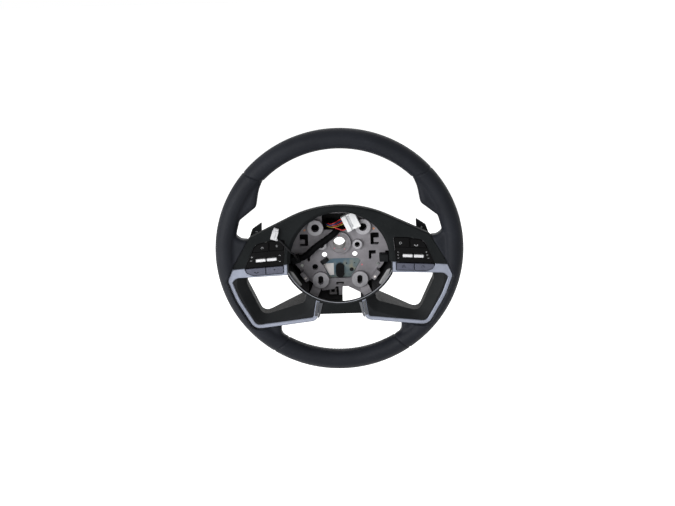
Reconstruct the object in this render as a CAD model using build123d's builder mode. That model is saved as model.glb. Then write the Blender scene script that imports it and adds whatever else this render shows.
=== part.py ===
from build123d import *

import os
from math import cos, degrees, radians, sin, tan

# Car steering wheel with its airbag taken out, in millimetres.
# X points to the driver's right, Z up, and Y away from the driver, towards the dashboard.
# The origin is on the column axis, at the front face of the column boss.
# Heights are measured from that face towards the driver, so y = -height.

# Rim and grip
RIM_OUTER_RADIUS = 185.0
GRIP_WIDTH = 30.0
GRIP_DEPTH = 33.0
RIM_HEIGHT = 50.0
LEATHER_THICKNESS = 1.4
SEAM_GAP = 0.5
UPPER_SEAM_ANGLE = 43.5
LOWER_SEAM_ANGLE = -57.3
CORE_RING_RADIUS = 5.5
CORE_RING_INSET = 11.0
CORE_RING_DROP = 5.5

# Clearances
FIT = 0.2
RUNNING_GAP = 0.35

# Leather webs at the thumb rests and the spoke roots
WEB_FRONT = 10.0
WEB_BACK = 12.0
WEB_ROUNDING = 7.0
THUMB_INSET = 44.2
THUMB_ANGLE = 30.8
THUMB_CORNER = 8.0
NOTCH_RADIUS = 15.5
NOTCH_INSET = 1.0
WEB_TOP_Z = 22.6
ROOT_EDGE_X = 91.0
ROOT_CORNER_Z = -128.6
ROOT_CORNER = 12.0

# Front of the centre section
FRONT_HEIGHT = 60.0
PARTING_HEIGHT = 46.0
ARCH_TOP = 71.2
ARCH_SHOULDER = (75.0, 53.6)
WING_TOP_INSET = 49.5
WING_TOP_ANGLE = 11.0
WING_LOW_INSET = 23.0
WING_LOW_ANGLE = -7.5
COVER_LOW_Z = -15.2
COVER_WALL = 2.6
COVER_EDGE_ROUNDING = 3.0
MOUTH_RADIUS = 74.0
MOUTH_Z = -13.0
MOUTH_BEVEL = 5.0

# Silver trims and black spoke frames
TRIM_THICKNESS = 6.0
TRIM_SHADOW_GAP = 0.3
TRIM_EDGE = 1.0
FRAME_RECESS = 1.5
FRAME_SLOPE = 48.0
BAR_LOW_Z = -29.2
BAR_END_Z = -36.2
BAR_END_INSET = 23.0
BAR_CORE_INSET = 40.0
BAR_CORNER = 12.0
LEG_TOP = (29.0, -60.0)
LEG_FOOT = (36.5, -105.2)
STRIP_WIDTH = 6.2
SUPPORT_RECESS = 0.5

# Hub ring and bridge under the hub
RING_RADIUS = 89.2
RING_Z = 8.4
RING_HALF_WIDTH = 78.5
RING_WALL = 2.0
RING_RECESS = 1.0
BRIDGE_LOW_Z = -97.0
BRIDGE_RECESS = 3.0
BRIDGE_ROUNDING = 5.0

# Rear cover
REAR_WALL = 2.6
REAR_DEPTH = 24.0
REAR_FLAT_RADIUS = 80.0
REAR_RISE_RADIUS = 140.0
REAR_RISE_HEIGHT = 20.5
REAR_EDGE_RADIUS = 170.0
REAR_EDGE_HEIGHT = 33.5
REAR_COLUMN_RADIUS = 45.0
REAR_ROOF_DRAFT = 15.5
REAR_POST = (54.0, 30.0)
REAR_POST_RADIUS = 6.0
CABLE_EXIT = (3.0, 31.0)
CABLE_EXIT_TOP_Z = -66.0
CABLE_EXIT_HEIGHT = 30.0

# Cast armature
PLATE_TOP = -4.0
PLATE_THICKNESS = 6.0
ARM_THICKNESS = 7.0
SIDE_ARM_WIDTH = 24.0
LOWER_ARM_WIDTH = 14.0
SIDE_ARM_Z = -3.0
ARM_ROOT_RADIUS = 62.0
ARM_BEND_RADIUS = 84.0
ARM_KNEE_RADIUS = 138.0
ARM_KNEE_HEIGHT = 31.0
ARM_ROOM = 1.0
FLANGE_HEIGHT = 22.0
TONGUE_THICKNESS = 3.0

# Screws
SCREW_RADIUS = 2.0
SCREW_HEAD_RADIUS = 4.2
SCREW_HEAD = 2.6
REAR_SCREW_GRIP = 3.0
SWITCH_SCREW = (58.5, -35.4)

# Column boss
COLUMN_BORE_RADIUS = 9.5
BOSS_RADIUS = 13.5
BOSS_COLLAR_RADIUS = 17.5
BOSS_COLLAR = 3.0
BOSS_COLLAR_WALL = 2.0
BOSS_LENGTH = 26.0

# Airbag fastenings in the armature
UPPER_BOSS = (36.5, 24.4)
UPPER_BOSS_RADIUS = 12.5
UPPER_HOLE_RADIUS = 6.0
LOWER_BOSS = (30.3, -58.8)
LOWER_BOSS_RADIUS = 13.0
LOWER_SLOT = (8.0, 13.8)
GUIDE_BOSS = (27.5, -3.0)
GUIDE_BOSS_RADIUS = 7.8
GUIDE_HOLE_RADIUS = 4.0
AIRBAG_BOSS_TOP = 1.0

# Switch clusters
PANEL_RECESS = 0.6
PANEL_FLOOR = 51.0
PANEL_BACK = 47.5
BOARD_THICKNESS = 1.6
BEZEL = 0.8
ROW_Z = 5.2
COLUMN_X = 105.0
COLUMN_LEAN = 0.24
KEY_EDGE = 0.5
KEY_GAP = 0.8
KEY_TRAVEL = 1.2
KEY_PROUD = 0.4
KEY_FLOOR_GAP = 0.4
BAR_LENGTH = 14.8
BAR_HEIGHT = 4.6
BAR_GAP = 1.6
BAR_PROUD = 2.2
BAR_CENTRE = (109.2, -7.4)
BAR_SLOPE = -3.7
BAR_SWING_GAP = 1.4
BAR_EDGE = 0.8
BAR_PIVOT_RADIUS = 1.2
BAR_PIVOT_LENGTH = 0.7
SILVER_SPLIT_X = 110.6
SILVER_NECK = (40.0, 10.0)

# Shift paddles
PADDLE_HEIGHT = 21.0
PADDLE_THICKNESS = 4.0
PADDLE_PIVOT_X = 94.0
PADDLE_LOW_Z = 13.0
PADDLE_KNUCKLE_LENGTH = 9.0
PADDLE_KNUCKLE_RADIUS = 3.4
PADDLE_PIN_RADIUS = 1.5
PADDLE_REACH = 42.0
PADDLE_NECK = 22.8
PADDLE_SLOT_CLEARANCE = 4.0
PADDLE_SLOT_LOW = 15.5
PADDLE_SLOT_TOP = 30.0
BRACKET_HEIGHT = 9.5
BRACKET_WIDTH = 14.0
BRACKET_PLATE = 2.5
BRACKET_EAR = 2.5
LUG_THICKNESS = 5.0

# Control module behind the hub plate
MODULE_THICKNESS = 9.0
GROMMET = (13.2, 22.0)
GROMMET_Z = -46.0
GROMMET_THICKNESS = 5.0

# Wiring
PLUG = (14.0, 12.0)
PLUG_HEIGHT = 14.0
LEFT_PLUG = (-68.0, -23.5)
LEFT_PLUG_TURN = 16.0
RIGHT_PLUG = (68.0, -24.0)
SLEEVE_RADIUS = 5.2
TAPE_RADIUS = 3.6
WIRE_RADIUS = 0.8
WIRE_RING_RADIUS = 2.1
LEAD_RADIUS = 1.2
MAIN_CONNECTOR = (22.3, 25.4)
MAIN_CONNECTOR_THICKNESS = 11.8
MAIN_CONNECTOR_CENTRE = (18.3, 35.4)
MAIN_CONNECTOR_TURN = 24.5
SMALL_CONNECTOR = (11.0, 19.0)
SMALL_CONNECTOR_THICKNESS = 6.8
SMALL_CONNECTOR_CENTRE = (-94.5, 33.0)
SMALL_CONNECTOR_TURN = -18.0

# Sizes worked out from the driving dimensions
rim_radius = RIM_OUTER_RADIUS - GRIP_WIDTH / 2
core_radius = RIM_OUTER_RADIUS - CORE_RING_INSET
core_height = RIM_HEIGHT - CORE_RING_DROP
foam_inset = LEATHER_THICKNESS + FIT
trim_floor = FRONT_HEIGHT - TRIM_THICKNESS
frame_front = FRONT_HEIGHT - FRAME_RECESS
plate_back = PLATE_TOP - PLATE_THICKNESS
plate_middle = PLATE_TOP - PLATE_THICKNESS / 2
far = RIM_OUTER_RADIUS * 1.5
ear_low = PADDLE_LOW_Z - RUNNING_GAP - BRACKET_EAR
bracket_length = PADDLE_KNUCKLE_LENGTH + 2 * RUNNING_GAP + 2 * BRACKET_EAR
bracket_top = ear_low + bracket_length


def facing(height):
    """A plane square to the column axis, seen from the driver's seat."""
    return Plane.XZ.offset(height)


def radial(degrees):
    """The plane through the column axis at an angle, with its x outwards and its y along Y."""
    a = radians(degrees)
    return Plane(origin=(0, 0, 0), x_dir=(cos(a), 0, sin(a)), z_dir=(-sin(a), 0, cos(a)))


def polar(inset, degrees):
    """A point of the wheel's face, so far in from the rim's outer edge."""
    a = radians(degrees)
    return (RIM_OUTER_RADIUS - inset) * cos(a), (RIM_OUTER_RADIUS - inset) * sin(a)


def region(points, radii):
    """A flat face with rounded corners."""
    with BuildSketch() as face:
        with BuildLine():
            FilletPolyline(*points, radius=radii, close=True)
        make_face()
    return face.sketch


wing_top = polar(WING_TOP_INSET, WING_TOP_ANGLE)
wing_low = polar(WING_LOW_INSET, WING_LOW_ANGLE)

# Outline of one lower spoke on the right, along the outer edge of its silver trim
lobe = region(
    [
        (LEG_TOP[0], COVER_LOW_Z),
        (RING_HALF_WIDTH, COVER_LOW_Z),
        wing_low,
        polar(11.9, -12.9),
        polar(12.4, -23.7),
        polar(9.5, -41.5),
        LEG_FOOT,
        LEG_TOP,
    ],
    [0, 0, 2, 9, 120, 16, 10, 0],
)

# The spoke bar across the top of the lobe, which carries the silver keys
bar = region(
    [
        (0, 0),
        (0, BAR_LOW_Z),
        (RIM_OUTER_RADIUS, BAR_END_Z),
        (RIM_OUTER_RADIUS, 0),
    ],
    0,
)

bar_end_x = RIM_OUTER_RADIUS - BAR_END_INSET
below_bar = region(
    [
        (0, BAR_LOW_Z),
        (bar_end_x, BAR_LOW_Z + (BAR_END_Z - BAR_LOW_Z) * bar_end_x / RIM_OUTER_RADIUS),
        (bar_end_x, -far),
        (0, -far),
    ],
    [0, BAR_CORNER, 0, 0],
)

# The inside of the trim, and the window below the bar that the black frame fills
with BuildSketch() as spoke_core:
    add(lobe)
    offset(amount=-STRIP_WIDTH, kind=Kind.INTERSECTION, mode=Mode.REPLACE)
with BuildSketch() as window:
    add(spoke_core.sketch)
    add(below_bar, mode=Mode.INTERSECT)

# The outline of the hub below the cover, around the thin ring
with BuildSketch() as hub_low:
    with Locations((0, RING_Z)):
        Circle(RING_RADIUS)
    with Locations((0, COVER_LOW_Z)):
        Rectangle(2 * RING_HALF_WIDTH, far, align=(Align.CENTER, Align.MAX), mode=Mode.INTERSECT)

# The hand gap on the right, at the back of the frame's slope
hand_gap_outline = region(
    [
        (RING_HALF_WIDTH / 2, COVER_LOW_Z),
        polar(46.0, -6.0),
        polar(36.4, -18.4),
        polar(31.6, -39.7),
        (54.5, -79.0),
        (48.0, -50.0),
    ],
    [0, 0, 13, 12, 8, 0],
)
with BuildSketch() as hand_gap:
    add(hand_gap_outline)
    add(bar, mode=Mode.SUBTRACT)
    add(hub_low.sketch, mode=Mode.SUBTRACT)

# The front cover's outline with both wings, hub mouth not yet cut
with BuildSketch() as cover_face:
    with BuildLine():
        ThreePointArc((-ARCH_SHOULDER[0], ARCH_SHOULDER[1]), (0, ARCH_TOP), ARCH_SHOULDER)
        Polyline(
            ARCH_SHOULDER,
            wing_top,
            wing_low,
            (RING_HALF_WIDTH, COVER_LOW_Z),
            (-RING_HALF_WIDTH, COVER_LOW_Z),
            (-wing_low[0], wing_low[1]),
            (-wing_top[0], wing_top[1]),
            (-ARCH_SHOULDER[0], ARCH_SHOULDER[1]),
        )
    make_face()

# The same upper edge run on to both sides, for the wall that leans inwards behind it
wing_slope = (wing_top[1] - ARCH_SHOULDER[1]) / (wing_top[0] - ARCH_SHOULDER[0])
wing_far = (far, ARCH_SHOULDER[1] + wing_slope * (far - ARCH_SHOULDER[0]))
with BuildSketch() as roof_face:
    with BuildLine():
        ThreePointArc((-ARCH_SHOULDER[0], ARCH_SHOULDER[1]), (0, ARCH_TOP), ARCH_SHOULDER)
        Polyline(
            ARCH_SHOULDER,
            wing_far,
            (far, -far),
            (-far, -far),
            (-wing_far[0], wing_far[1]),
            (-ARCH_SHOULDER[0], ARCH_SHOULDER[1]),
        )
    make_face()

# The bridge between the two trim legs, under the hub ring
leg_slope = (LEG_FOOT[0] - LEG_TOP[0]) / (LEG_TOP[1] - LEG_FOOT[1])
bridge_half_low = LEG_TOP[0] + leg_slope * (LEG_TOP[1] - BRIDGE_LOW_Z)
bridge_outline = region(
    [
        (-LEG_TOP[0], LEG_TOP[1]),
        LEG_TOP,
        (bridge_half_low, BRIDGE_LOW_Z),
        (-bridge_half_low, BRIDGE_LOW_Z),
    ],
    0,
)

# What stands on the free lower edge of a spoke, clear of the leather root
with BuildSketch() as free_edge:
    add(lobe)
    with Locations((ROOT_EDGE_X - SUPPORT_RECESS, BAR_LOW_Z)):
        Rectangle(far, far, align=(Align.MAX, Align.MAX), mode=Mode.INTERSECT)

# All that lies inside the leather, from the front cover to the rear cover
with BuildSketch() as bar_core:
    add(lobe)
    add(bar, mode=Mode.INTERSECT)
    with Locations((RIM_OUTER_RADIUS - BAR_CORE_INSET, 0)):
        Rectangle(far, far, align=(Align.MAX, Align.CENTER), mode=Mode.INTERSECT)
with BuildSketch() as right_core:
    add(spoke_core.sketch)
    add(free_edge.sketch)
    add(bar_core.sketch)
with BuildSketch() as core_face:
    add(cover_face.sketch)
    add(hub_low.sketch)
    add(bridge_outline)
    add(right_core.sketch)
    add(mirror(right_core.sketch, about=Plane.YZ))


def mirrored(piece):
    """The same piece on the other side of the wheel."""
    return mirror(piece, about=Plane.YZ)


def both_sides(piece):
    """A piece and its mirror image."""
    return [piece, mirrored(piece)]


# Rim

def ring(inset, start, end):
    """The plain grip between two angles, with its surface set in by an inset."""
    with BuildPart() as grip:
        with BuildSketch(radial(end)):
            with Locations((rim_radius, -RIM_HEIGHT)):
                Ellipse(GRIP_WIDTH / 2 - inset, GRIP_DEPTH / 2 - inset)
        revolve(axis=Axis.Y, revolution_arc=end - start)
    return grip.part


def seam_wedge():
    """The space between the upper and the lower seam on the right."""
    reach = far / cos(radians(LOWER_SEAM_ANGLE))
    corners = [
        (reach * cos(radians(a)), reach * sin(radians(a))) for a in (UPPER_SEAM_ANGLE, 0, LOWER_SEAM_ANGLE)
    ]
    with BuildPart() as wedge:
        with BuildSketch(facing(-REAR_DEPTH)):
            with BuildLine():
                Polyline((0, 0), *corners, close=True)
            make_face()
        extrude(amount=far)
    return wedge.part


# Thumb rest and side root, on the right, seen from the front
upper_web = region(
    [
        polar(GRIP_WIDTH - 3, UPPER_SEAM_ANGLE + 4),
        polar(33.1, 40.2),
        polar(THUMB_INSET, THUMB_ANGLE),
        (RIM_OUTER_RADIUS - NOTCH_INSET, WEB_TOP_Z),
        (wing_top[0] - 12, WEB_TOP_Z),
        (wing_low[0] - 16, wing_low[1] - 10),
        polar(14, -14),
        polar(14, 15),
        polar(14, UPPER_SEAM_ANGLE + 4),
    ],
    [0, 60, THUMB_CORNER, NOTCH_RADIUS, 0, 0, 0, 0, 0],
)

thumb_edge = polar(THUMB_INSET - 3, THUMB_ANGLE + 3)

# Root of the lower spoke
lower_web = region(
    [
        (ROOT_EDGE_X, LEG_FOOT[1] + 5),
        (ROOT_EDGE_X, ROOT_CORNER_Z),
        (ROOT_EDGE_X - 30, ROOT_CORNER_Z - 12),
        polar(14, LOWER_SEAM_ANGLE - 8),
        polar(14, LOWER_SEAM_ANGLE + 22),
        polar(40, LOWER_SEAM_ANGLE + 22),
    ],
    [0, ROOT_CORNER, 0, 0, 0, 0],
)
root_edge = (ROOT_EDGE_X, ROOT_CORNER_Z + ROOT_CORNER)


def web(face, inset, edge_point):
    """A leather web, rounded along the edge by a point, with its surface set in by an inset."""
    back = RIM_HEIGHT - WEB_BACK + inset
    front = RIM_HEIGHT + WEB_FRONT - inset
    x, z = edge_point
    with BuildPart() as slab:
        with BuildSketch(facing(back)):
            add(face)
            if inset:
                offset(amount=-inset, mode=Mode.REPLACE)
        extrude(amount=front - back)
        for height in (back, front):
            fillet(slab.edges().sort_by_distance((x, -height, z))[0], WEB_ROUNDING - inset)
    return slab.part


def side_webs(inset):
    """Both webs on the right, between the seams."""
    with BuildPart() as webs:
        add(web(upper_web, inset, thumb_edge))
        add(web(lower_web, inset, root_edge))
        add(seam_wedge(), mode=Mode.INTERSECT)
    return webs.part


with BuildPart() as rabbet:
    with BuildSketch(facing(trim_floor - FIT)):
        add(cover_face.sketch)
        add(both_sides(lobe))
        offset(amount=FIT, mode=Mode.REPLACE)
    extrude(amount=far)
with BuildPart() as well:
    with BuildSketch(facing(-REAR_DEPTH)):
        add(core_face.sketch)
        offset(amount=FIT, mode=Mode.REPLACE)
    extrude(amount=far)

# Arms of the armature: their outline from the front, cut from a dished band

lower_arm_line = FilletPolyline((30, -58), (46, -90), (116, -106.5), (131, -113), radius=(14, 20))


def arm_band(clearance):
    """The dished band that holds all four arms."""
    with BuildPart() as band:
        with BuildSketch(Plane.XY):
            with BuildLine():
                FilletPolyline(
                    (ARM_ROOT_RADIUS, -plate_middle),
                    (ARM_BEND_RADIUS, -plate_middle),
                    (ARM_KNEE_RADIUS, -ARM_KNEE_HEIGHT),
                    (core_radius, -core_height),
                    radius=(25, 25),
                )
            trace(line_width=ARM_THICKNESS + 2 * clearance)
        revolve(axis=Axis.Y)
    return band.part


def arm_solids(clearance):
    """The four arms between hub and rim, larger all round by a clearance."""
    with BuildPart() as arms:
        with BuildSketch(facing(-REAR_DEPTH)):
            with Locations((0, SIDE_ARM_Z)):
                Rectangle(2 * core_radius, SIDE_ARM_WIDTH + 2 * clearance)
            trace(lower_arm_line, LOWER_ARM_WIDTH + 2 * clearance)
            trace(mirrored(lower_arm_line), LOWER_ARM_WIDTH + 2 * clearance)
        extrude(amount=far / 2)
        add(arm_band(clearance), mode=Mode.INTERSECT)
    return arms.part


def core_ring(clearance):
    """The round ring of the armature inside the grip."""
    with BuildPart() as torus:
        with BuildSketch(Plane.XY):
            with Locations((core_radius, -core_height)):
                Circle(CORE_RING_RADIUS + clearance)
        revolve(axis=Axis.Y)
    return torus.part


# Grip foam around the armature's ring, with the sides cut for the spokes
foam_webs = side_webs(foam_inset)
arm_room = arm_solids(FIT)
with BuildPart() as foam_right:
    add(ring(foam_inset, LOWER_SEAM_ANGLE, UPPER_SEAM_ANGLE))
    add(foam_webs)
    add(rabbet.part, mode=Mode.SUBTRACT)
    add(well.part, mode=Mode.SUBTRACT)
    add(arm_room, mode=Mode.SUBTRACT)
with BuildPart() as rim_foam:
    add(both_sides(foam_right.part))
    add(ring(foam_inset, UPPER_SEAM_ANGLE, 180 - UPPER_SEAM_ANGLE))
    add(ring(foam_inset, 180 - LOWER_SEAM_ANGLE, 360 + LOWER_SEAM_ANGLE))
    add(core_ring(FIT), mode=Mode.SUBTRACT)

# Leather in four panels, with a gap at each seam for the stitched joint
seam_half = degrees(SEAM_GAP / 2 / RIM_OUTER_RADIUS)


def plain_leather(start, end):
    """A leather panel on the plain part of the rim."""
    with BuildPart() as panel:
        add(ring(0, start + seam_half, end - seam_half))
        add(ring(LEATHER_THICKNESS, start, end), mode=Mode.SUBTRACT)
    return panel.part


leather_upper = plain_leather(UPPER_SEAM_ANGLE, 180 - UPPER_SEAM_ANGLE)
leather_lower = plain_leather(180 - LOWER_SEAM_ANGLE, 360 + LOWER_SEAM_ANGLE)
leather_inside = side_webs(LEATHER_THICKNESS)
with BuildPart() as leather_right:
    add(ring(0, LOWER_SEAM_ANGLE + seam_half, UPPER_SEAM_ANGLE - seam_half))
    add(side_webs(0))
    add(ring(LEATHER_THICKNESS, LOWER_SEAM_ANGLE - 5, UPPER_SEAM_ANGLE + 5), mode=Mode.SUBTRACT)
    add(leather_inside, mode=Mode.SUBTRACT)
    add(rabbet.part, mode=Mode.SUBTRACT)
    add(well.part, mode=Mode.SUBTRACT)
    add(arm_room, mode=Mode.SUBTRACT)


def prism(face, bottom, top):
    """A plain solid between two heights over a face of the front view."""
    with BuildPart() as block:
        with BuildSketch(facing(bottom)):
            add(face)
        extrude(amount=top - bottom)
    return block.part


def twin(x, z):
    """The same spot on both sides."""
    return Locations((x, z), (-x, z))


# Cast armature: hub plate with its bosses and windows, four arms and the ring
plate_outline = region(
    [(0, 51.5), (32, 48.5), (60, 33), (69, 8), (71, -30), (52, -57), (34, -71), (0, -71)],
    [0, 16, 14, 20, 12, 10, 8, 0],
)
with BuildPart() as armature:
    with BuildSketch(facing(plate_back)):
        add(both_sides(plate_outline))
    extrude(amount=PLATE_THICKNESS)
    # Windows: control module, harness, side latches, slots beside them and the foot
    with BuildSketch(facing(plate_back)):
        add(region([(-28, -30), (-22, -25.5), (28, -25.5), (32.4, -30), (17, -57.5), (-17, -57.5)], 2))
        add(region([(-26, 20), (13, 20), (13, 46), (-26, 46)], 4))
        add(both_sides(region([(48, 14), (61, 14), (61, -5), (48, -5)], 1.5)))
        add(region([(-50, -12), (-46, -12), (-46, -29), (-50, -29)], 1))
        add(region([(45, -14), (56, -14), (56, -20), (49, -20), (49, -28), (45, -28)], 1))
        add(region([(-6.6, -63.6), (5.4, -63.6), (5.4, -68), (-6.6, -68)], 1))
        with twin(23.5, -19.5):
            Ellipse(4.0, 4.4)
        with Locations((-38.4, -38.4)):
            Circle(4.5)
        with twin(*SWITCH_SCREW):
            Circle(SCREW_RADIUS + FIT)
    extrude(amount=PLATE_THICKNESS, mode=Mode.SUBTRACT)
    # Bosses
    with BuildSketch(facing(plate_back)):
        Circle(BOSS_COLLAR_RADIUS)
        with twin(*UPPER_BOSS):
            Circle(UPPER_BOSS_RADIUS)
        with twin(*LOWER_BOSS):
            Circle(LOWER_BOSS_RADIUS)
        with twin(*GUIDE_BOSS):
            Circle(GUIDE_BOSS_RADIUS)
    extrude(amount=AIRBAG_BOSS_TOP - plate_back)
    # Latch tongues at the sides and the foot tongue
    with BuildSketch(facing(plate_back)):
        add(both_sides(region([(53, 5), (61.5, 5), (61.5, -2), (53, -2)], 1)))
        add(region([(-3.5, -67), (3.5, -67), (3.5, -74.5), (-3.5, -74.5)], 1))
    extrude(amount=TONGUE_THICKNESS)
    # Stiffening flanges along the lower sides
    with BuildSketch(facing(plate_back)):
        add(both_sides(region([(61.8, -45), (56.8, -41.6), (48, -54.7), (53, -58.1)], 1)))
    extrude(amount=FLANGE_HEIGHT)
    # Lugs for the paddle brackets
    with BuildSketch(facing(BRACKET_HEIGHT - LUG_THICKNESS)):
        with twin(PADDLE_PIVOT_X, SIDE_ARM_Z):
            Rectangle(BRACKET_WIDTH, bracket_top - SIDE_ARM_Z, align=(Align.CENTER, Align.MIN))
    extrude(amount=LUG_THICKNESS)
    add(arm_solids(0))
    add(core_ring(0))
    # Bores
    with BuildSketch(facing(plate_back)):
        Circle(BOSS_RADIUS + FIT / 2)
        with twin(*UPPER_BOSS):
            Circle(UPPER_HOLE_RADIUS)
        with twin(*LOWER_BOSS):
            SlotOverall(LOWER_SLOT[1], LOWER_SLOT[0], rotation=90)
        with twin(*GUIDE_BOSS):
            Circle(GUIDE_HOLE_RADIUS)
    extrude(amount=far / 2, mode=Mode.SUBTRACT)
    with BuildSketch(facing(-BOSS_COLLAR)):
        Circle(BOSS_COLLAR_RADIUS - BOSS_COLLAR_WALL + FIT / 2)
    extrude(amount=far / 2, mode=Mode.SUBTRACT)
    with BuildSketch(facing(plate_back)):
        with twin(*REAR_POST):
            Circle(SCREW_RADIUS + FIT)
    extrude(amount=REAR_SCREW_GRIP + FIT, mode=Mode.SUBTRACT)

# Steel column boss
with BuildPart() as column_boss:
    with BuildSketch(facing(-BOSS_LENGTH)):
        Circle(BOSS_RADIUS)
    extrude(amount=BOSS_LENGTH)
    with BuildSketch(facing(-BOSS_COLLAR)):
        Circle(BOSS_COLLAR_RADIUS - BOSS_COLLAR_WALL)
    extrude(amount=BOSS_COLLAR)
    with BuildSketch(facing(-BOSS_LENGTH)):
        Circle(COLUMN_BORE_RADIUS)
    extrude(amount=BOSS_LENGTH, mode=Mode.SUBTRACT)

# Front cover: one moulding with both wings around the hub mouth
panel_outline = region(
    [(80, 22.4), (101, 21.7), (121.5, 17.2), (127.6, 11.5), (140.8, -19.4), (83.8, -16.4)],
    [2.5, 30, 5, 5, 1, 1],
)
with BuildPart() as front_cover:
    with BuildSketch(facing(PARTING_HEIGHT)):
        add(cover_face.sketch)
        with Locations((0, MOUTH_Z)):
            Circle(MOUTH_RADIUS, mode=Mode.SUBTRACT)
    extrude(amount=FRONT_HEIGHT - PARTING_HEIGHT)
    front_edges = front_cover.faces().sort_by(Axis.Y)[0].edges()
    chamfer(
        front_edges.sort_by_distance((0, -FRONT_HEIGHT, MOUTH_Z + MOUTH_RADIUS))[0],
        MOUTH_BEVEL,
    )
    top_edges = front_cover.faces().sort_by(Axis.Y)[0].edges()
    fillet(
        [
            top_edges.sort_by_distance((0, -FRONT_HEIGHT, ARCH_TOP))[0],
            top_edges.sort_by_distance((wing_top[0], -FRONT_HEIGHT, wing_top[1] + 5))[0],
            top_edges.sort_by_distance((-wing_top[0], -FRONT_HEIGHT, wing_top[1] + 5))[0],
        ],
        COVER_EDGE_ROUNDING,
    )
    # Hollow behind the front wall
    with BuildSketch(facing(PARTING_HEIGHT)):
        add(cover_face.sketch)
        offset(amount=-COVER_WALL, mode=Mode.REPLACE)
        with Locations((0, MOUTH_Z)):
            Circle(MOUTH_RADIUS + MOUTH_BEVEL + COVER_WALL / 2, mode=Mode.SUBTRACT)
    extrude(amount=FRONT_HEIGHT - PARTING_HEIGHT - COVER_WALL, mode=Mode.SUBTRACT)
    # Openings for the switch panels
    with BuildSketch(facing(PARTING_HEIGHT)):
        add(both_sides(panel_outline))
        offset(amount=FIT, mode=Mode.REPLACE)
    extrude(amount=far / 2, mode=Mode.SUBTRACT)

# Silver keys in the bar, and the notch that they leave in the trim
key_points = [(84.2, -17.4), (141.5, -20.8), (138.5, -27.5), (129, -31.2), (84.2, -28.6)]
silver_keys = region(key_points, [1, 1.5, 6, 6, 1])
key_notch = region(
    [(key_points[0][0], 0), (key_points[1][0] + 8, 0)] + key_points[1:], [0, 0, 1.5, 6, 6, 1]
)

# Silver trim around the right-hand spoke
with BuildPart() as right_trim:
    with BuildSketch(facing(trim_floor)):
        add(lobe)
        offset(amount=-TRIM_SHADOW_GAP, kind=Kind.INTERSECTION, mode=Mode.REPLACE)
        add(window.sketch, mode=Mode.SUBTRACT)
        add(hub_low.sketch, mode=Mode.SUBTRACT)
        with BuildSketch(mode=Mode.SUBTRACT):
            add(key_notch)
            offset(amount=RUNNING_GAP, kind=Kind.INTERSECTION, mode=Mode.REPLACE)
    extrude(amount=TRIM_THICKNESS)
    chamfer(right_trim.faces().sort_by(Axis.Y)[0].edges(), TRIM_EDGE)

# Black frame between the trim and the hand gap, sloped like a funnel
with BuildPart() as right_spoke_frame:
    with BuildSketch(facing(PARTING_HEIGHT)):
        add(window.sketch)
        offset(amount=-FIT, kind=Kind.INTERSECTION, mode=Mode.REPLACE)
        add(hub_low.sketch, mode=Mode.SUBTRACT)
    extrude(amount=frame_front - PARTING_HEIGHT)
    with BuildSketch(facing(PARTING_HEIGHT)):
        add(free_edge.sketch)
        offset(amount=-SUPPORT_RECESS, kind=Kind.INTERSECTION, mode=Mode.REPLACE)
        add(bar, mode=Mode.SUBTRACT)
        add(hub_low.sketch, mode=Mode.SUBTRACT)
    extrude(amount=trim_floor - PARTING_HEIGHT)
    with BuildSketch(facing(PARTING_HEIGHT)):
        add(hand_gap.sketch)
    extrude(amount=frame_front - PARTING_HEIGHT, taper=-FRAME_SLOPE, mode=Mode.SUBTRACT)

# Thin ring around the lower hub
with BuildPart() as hub_ring:
    with BuildSketch(facing(PARTING_HEIGHT)):
        add(hub_low.sketch)
        offset(amount=-FIT, kind=Kind.INTERSECTION, mode=Mode.REPLACE)
        with BuildSketch(mode=Mode.SUBTRACT):
            with Locations((0, RING_Z)):
                Circle(RING_RADIUS - RING_WALL)
            with Locations((0, 0)):
                Rectangle(2 * (RING_HALF_WIDTH - RING_WALL), far, mode=Mode.INTERSECT)
    extrude(amount=FRONT_HEIGHT - RING_RECESS - PARTING_HEIGHT)

# Black bridge between the trim legs
with BuildPart() as bridge_cover:
    with BuildSketch(facing(PARTING_HEIGHT)):
        add(bridge_outline)
        offset(amount=-FIT, kind=Kind.INTERSECTION, mode=Mode.REPLACE)
        add(hub_low.sketch, mode=Mode.SUBTRACT)
    extrude(amount=FRONT_HEIGHT - BRIDGE_RECESS - PARTING_HEIGHT)
    fillet(
        bridge_cover.edges().sort_by_distance((0, BRIDGE_RECESS - FRONT_HEIGHT, BRIDGE_LOW_Z))[0],
        BRIDGE_ROUNDING,
    )

# Rear cover: a dished shell with walls up to the parting line

def dish_profile(lift):
    """A turned body bounded behind by the dish, lifted by a wall."""
    with BuildPart() as body:
        with BuildSketch(Plane.XY):
            with BuildLine():
                Polyline(
                    (0, REAR_DEPTH - lift),
                    (REAR_FLAT_RADIUS, REAR_DEPTH - lift),
                    (REAR_RISE_RADIUS, -REAR_RISE_HEIGHT - lift),
                    (REAR_EDGE_RADIUS, -REAR_EDGE_HEIGHT - lift),
                    (REAR_EDGE_RADIUS, -PARTING_HEIGHT),
                    (0, -PARTING_HEIGHT),
                    close=True,
                )
            make_face()
        revolve(axis=Axis.Y)
    return body.part


def roof(inset):
    """All that lies under the leaning upper wall, set in by an inset."""
    with BuildPart() as room:
        with BuildSketch(Plane(origin=(0, -PARTING_HEIGHT, 0), x_dir=(1, 0, 0), z_dir=(0, 1, 0))):
            mirror(roof_face.sketch, about=Plane.XZ)
            offset(amount=-inset, kind=Kind.INTERSECTION, mode=Mode.REPLACE)
        extrude(amount=PARTING_HEIGHT + REAR_DEPTH, taper=REAR_ROOF_DRAFT)
    return room.part


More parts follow.
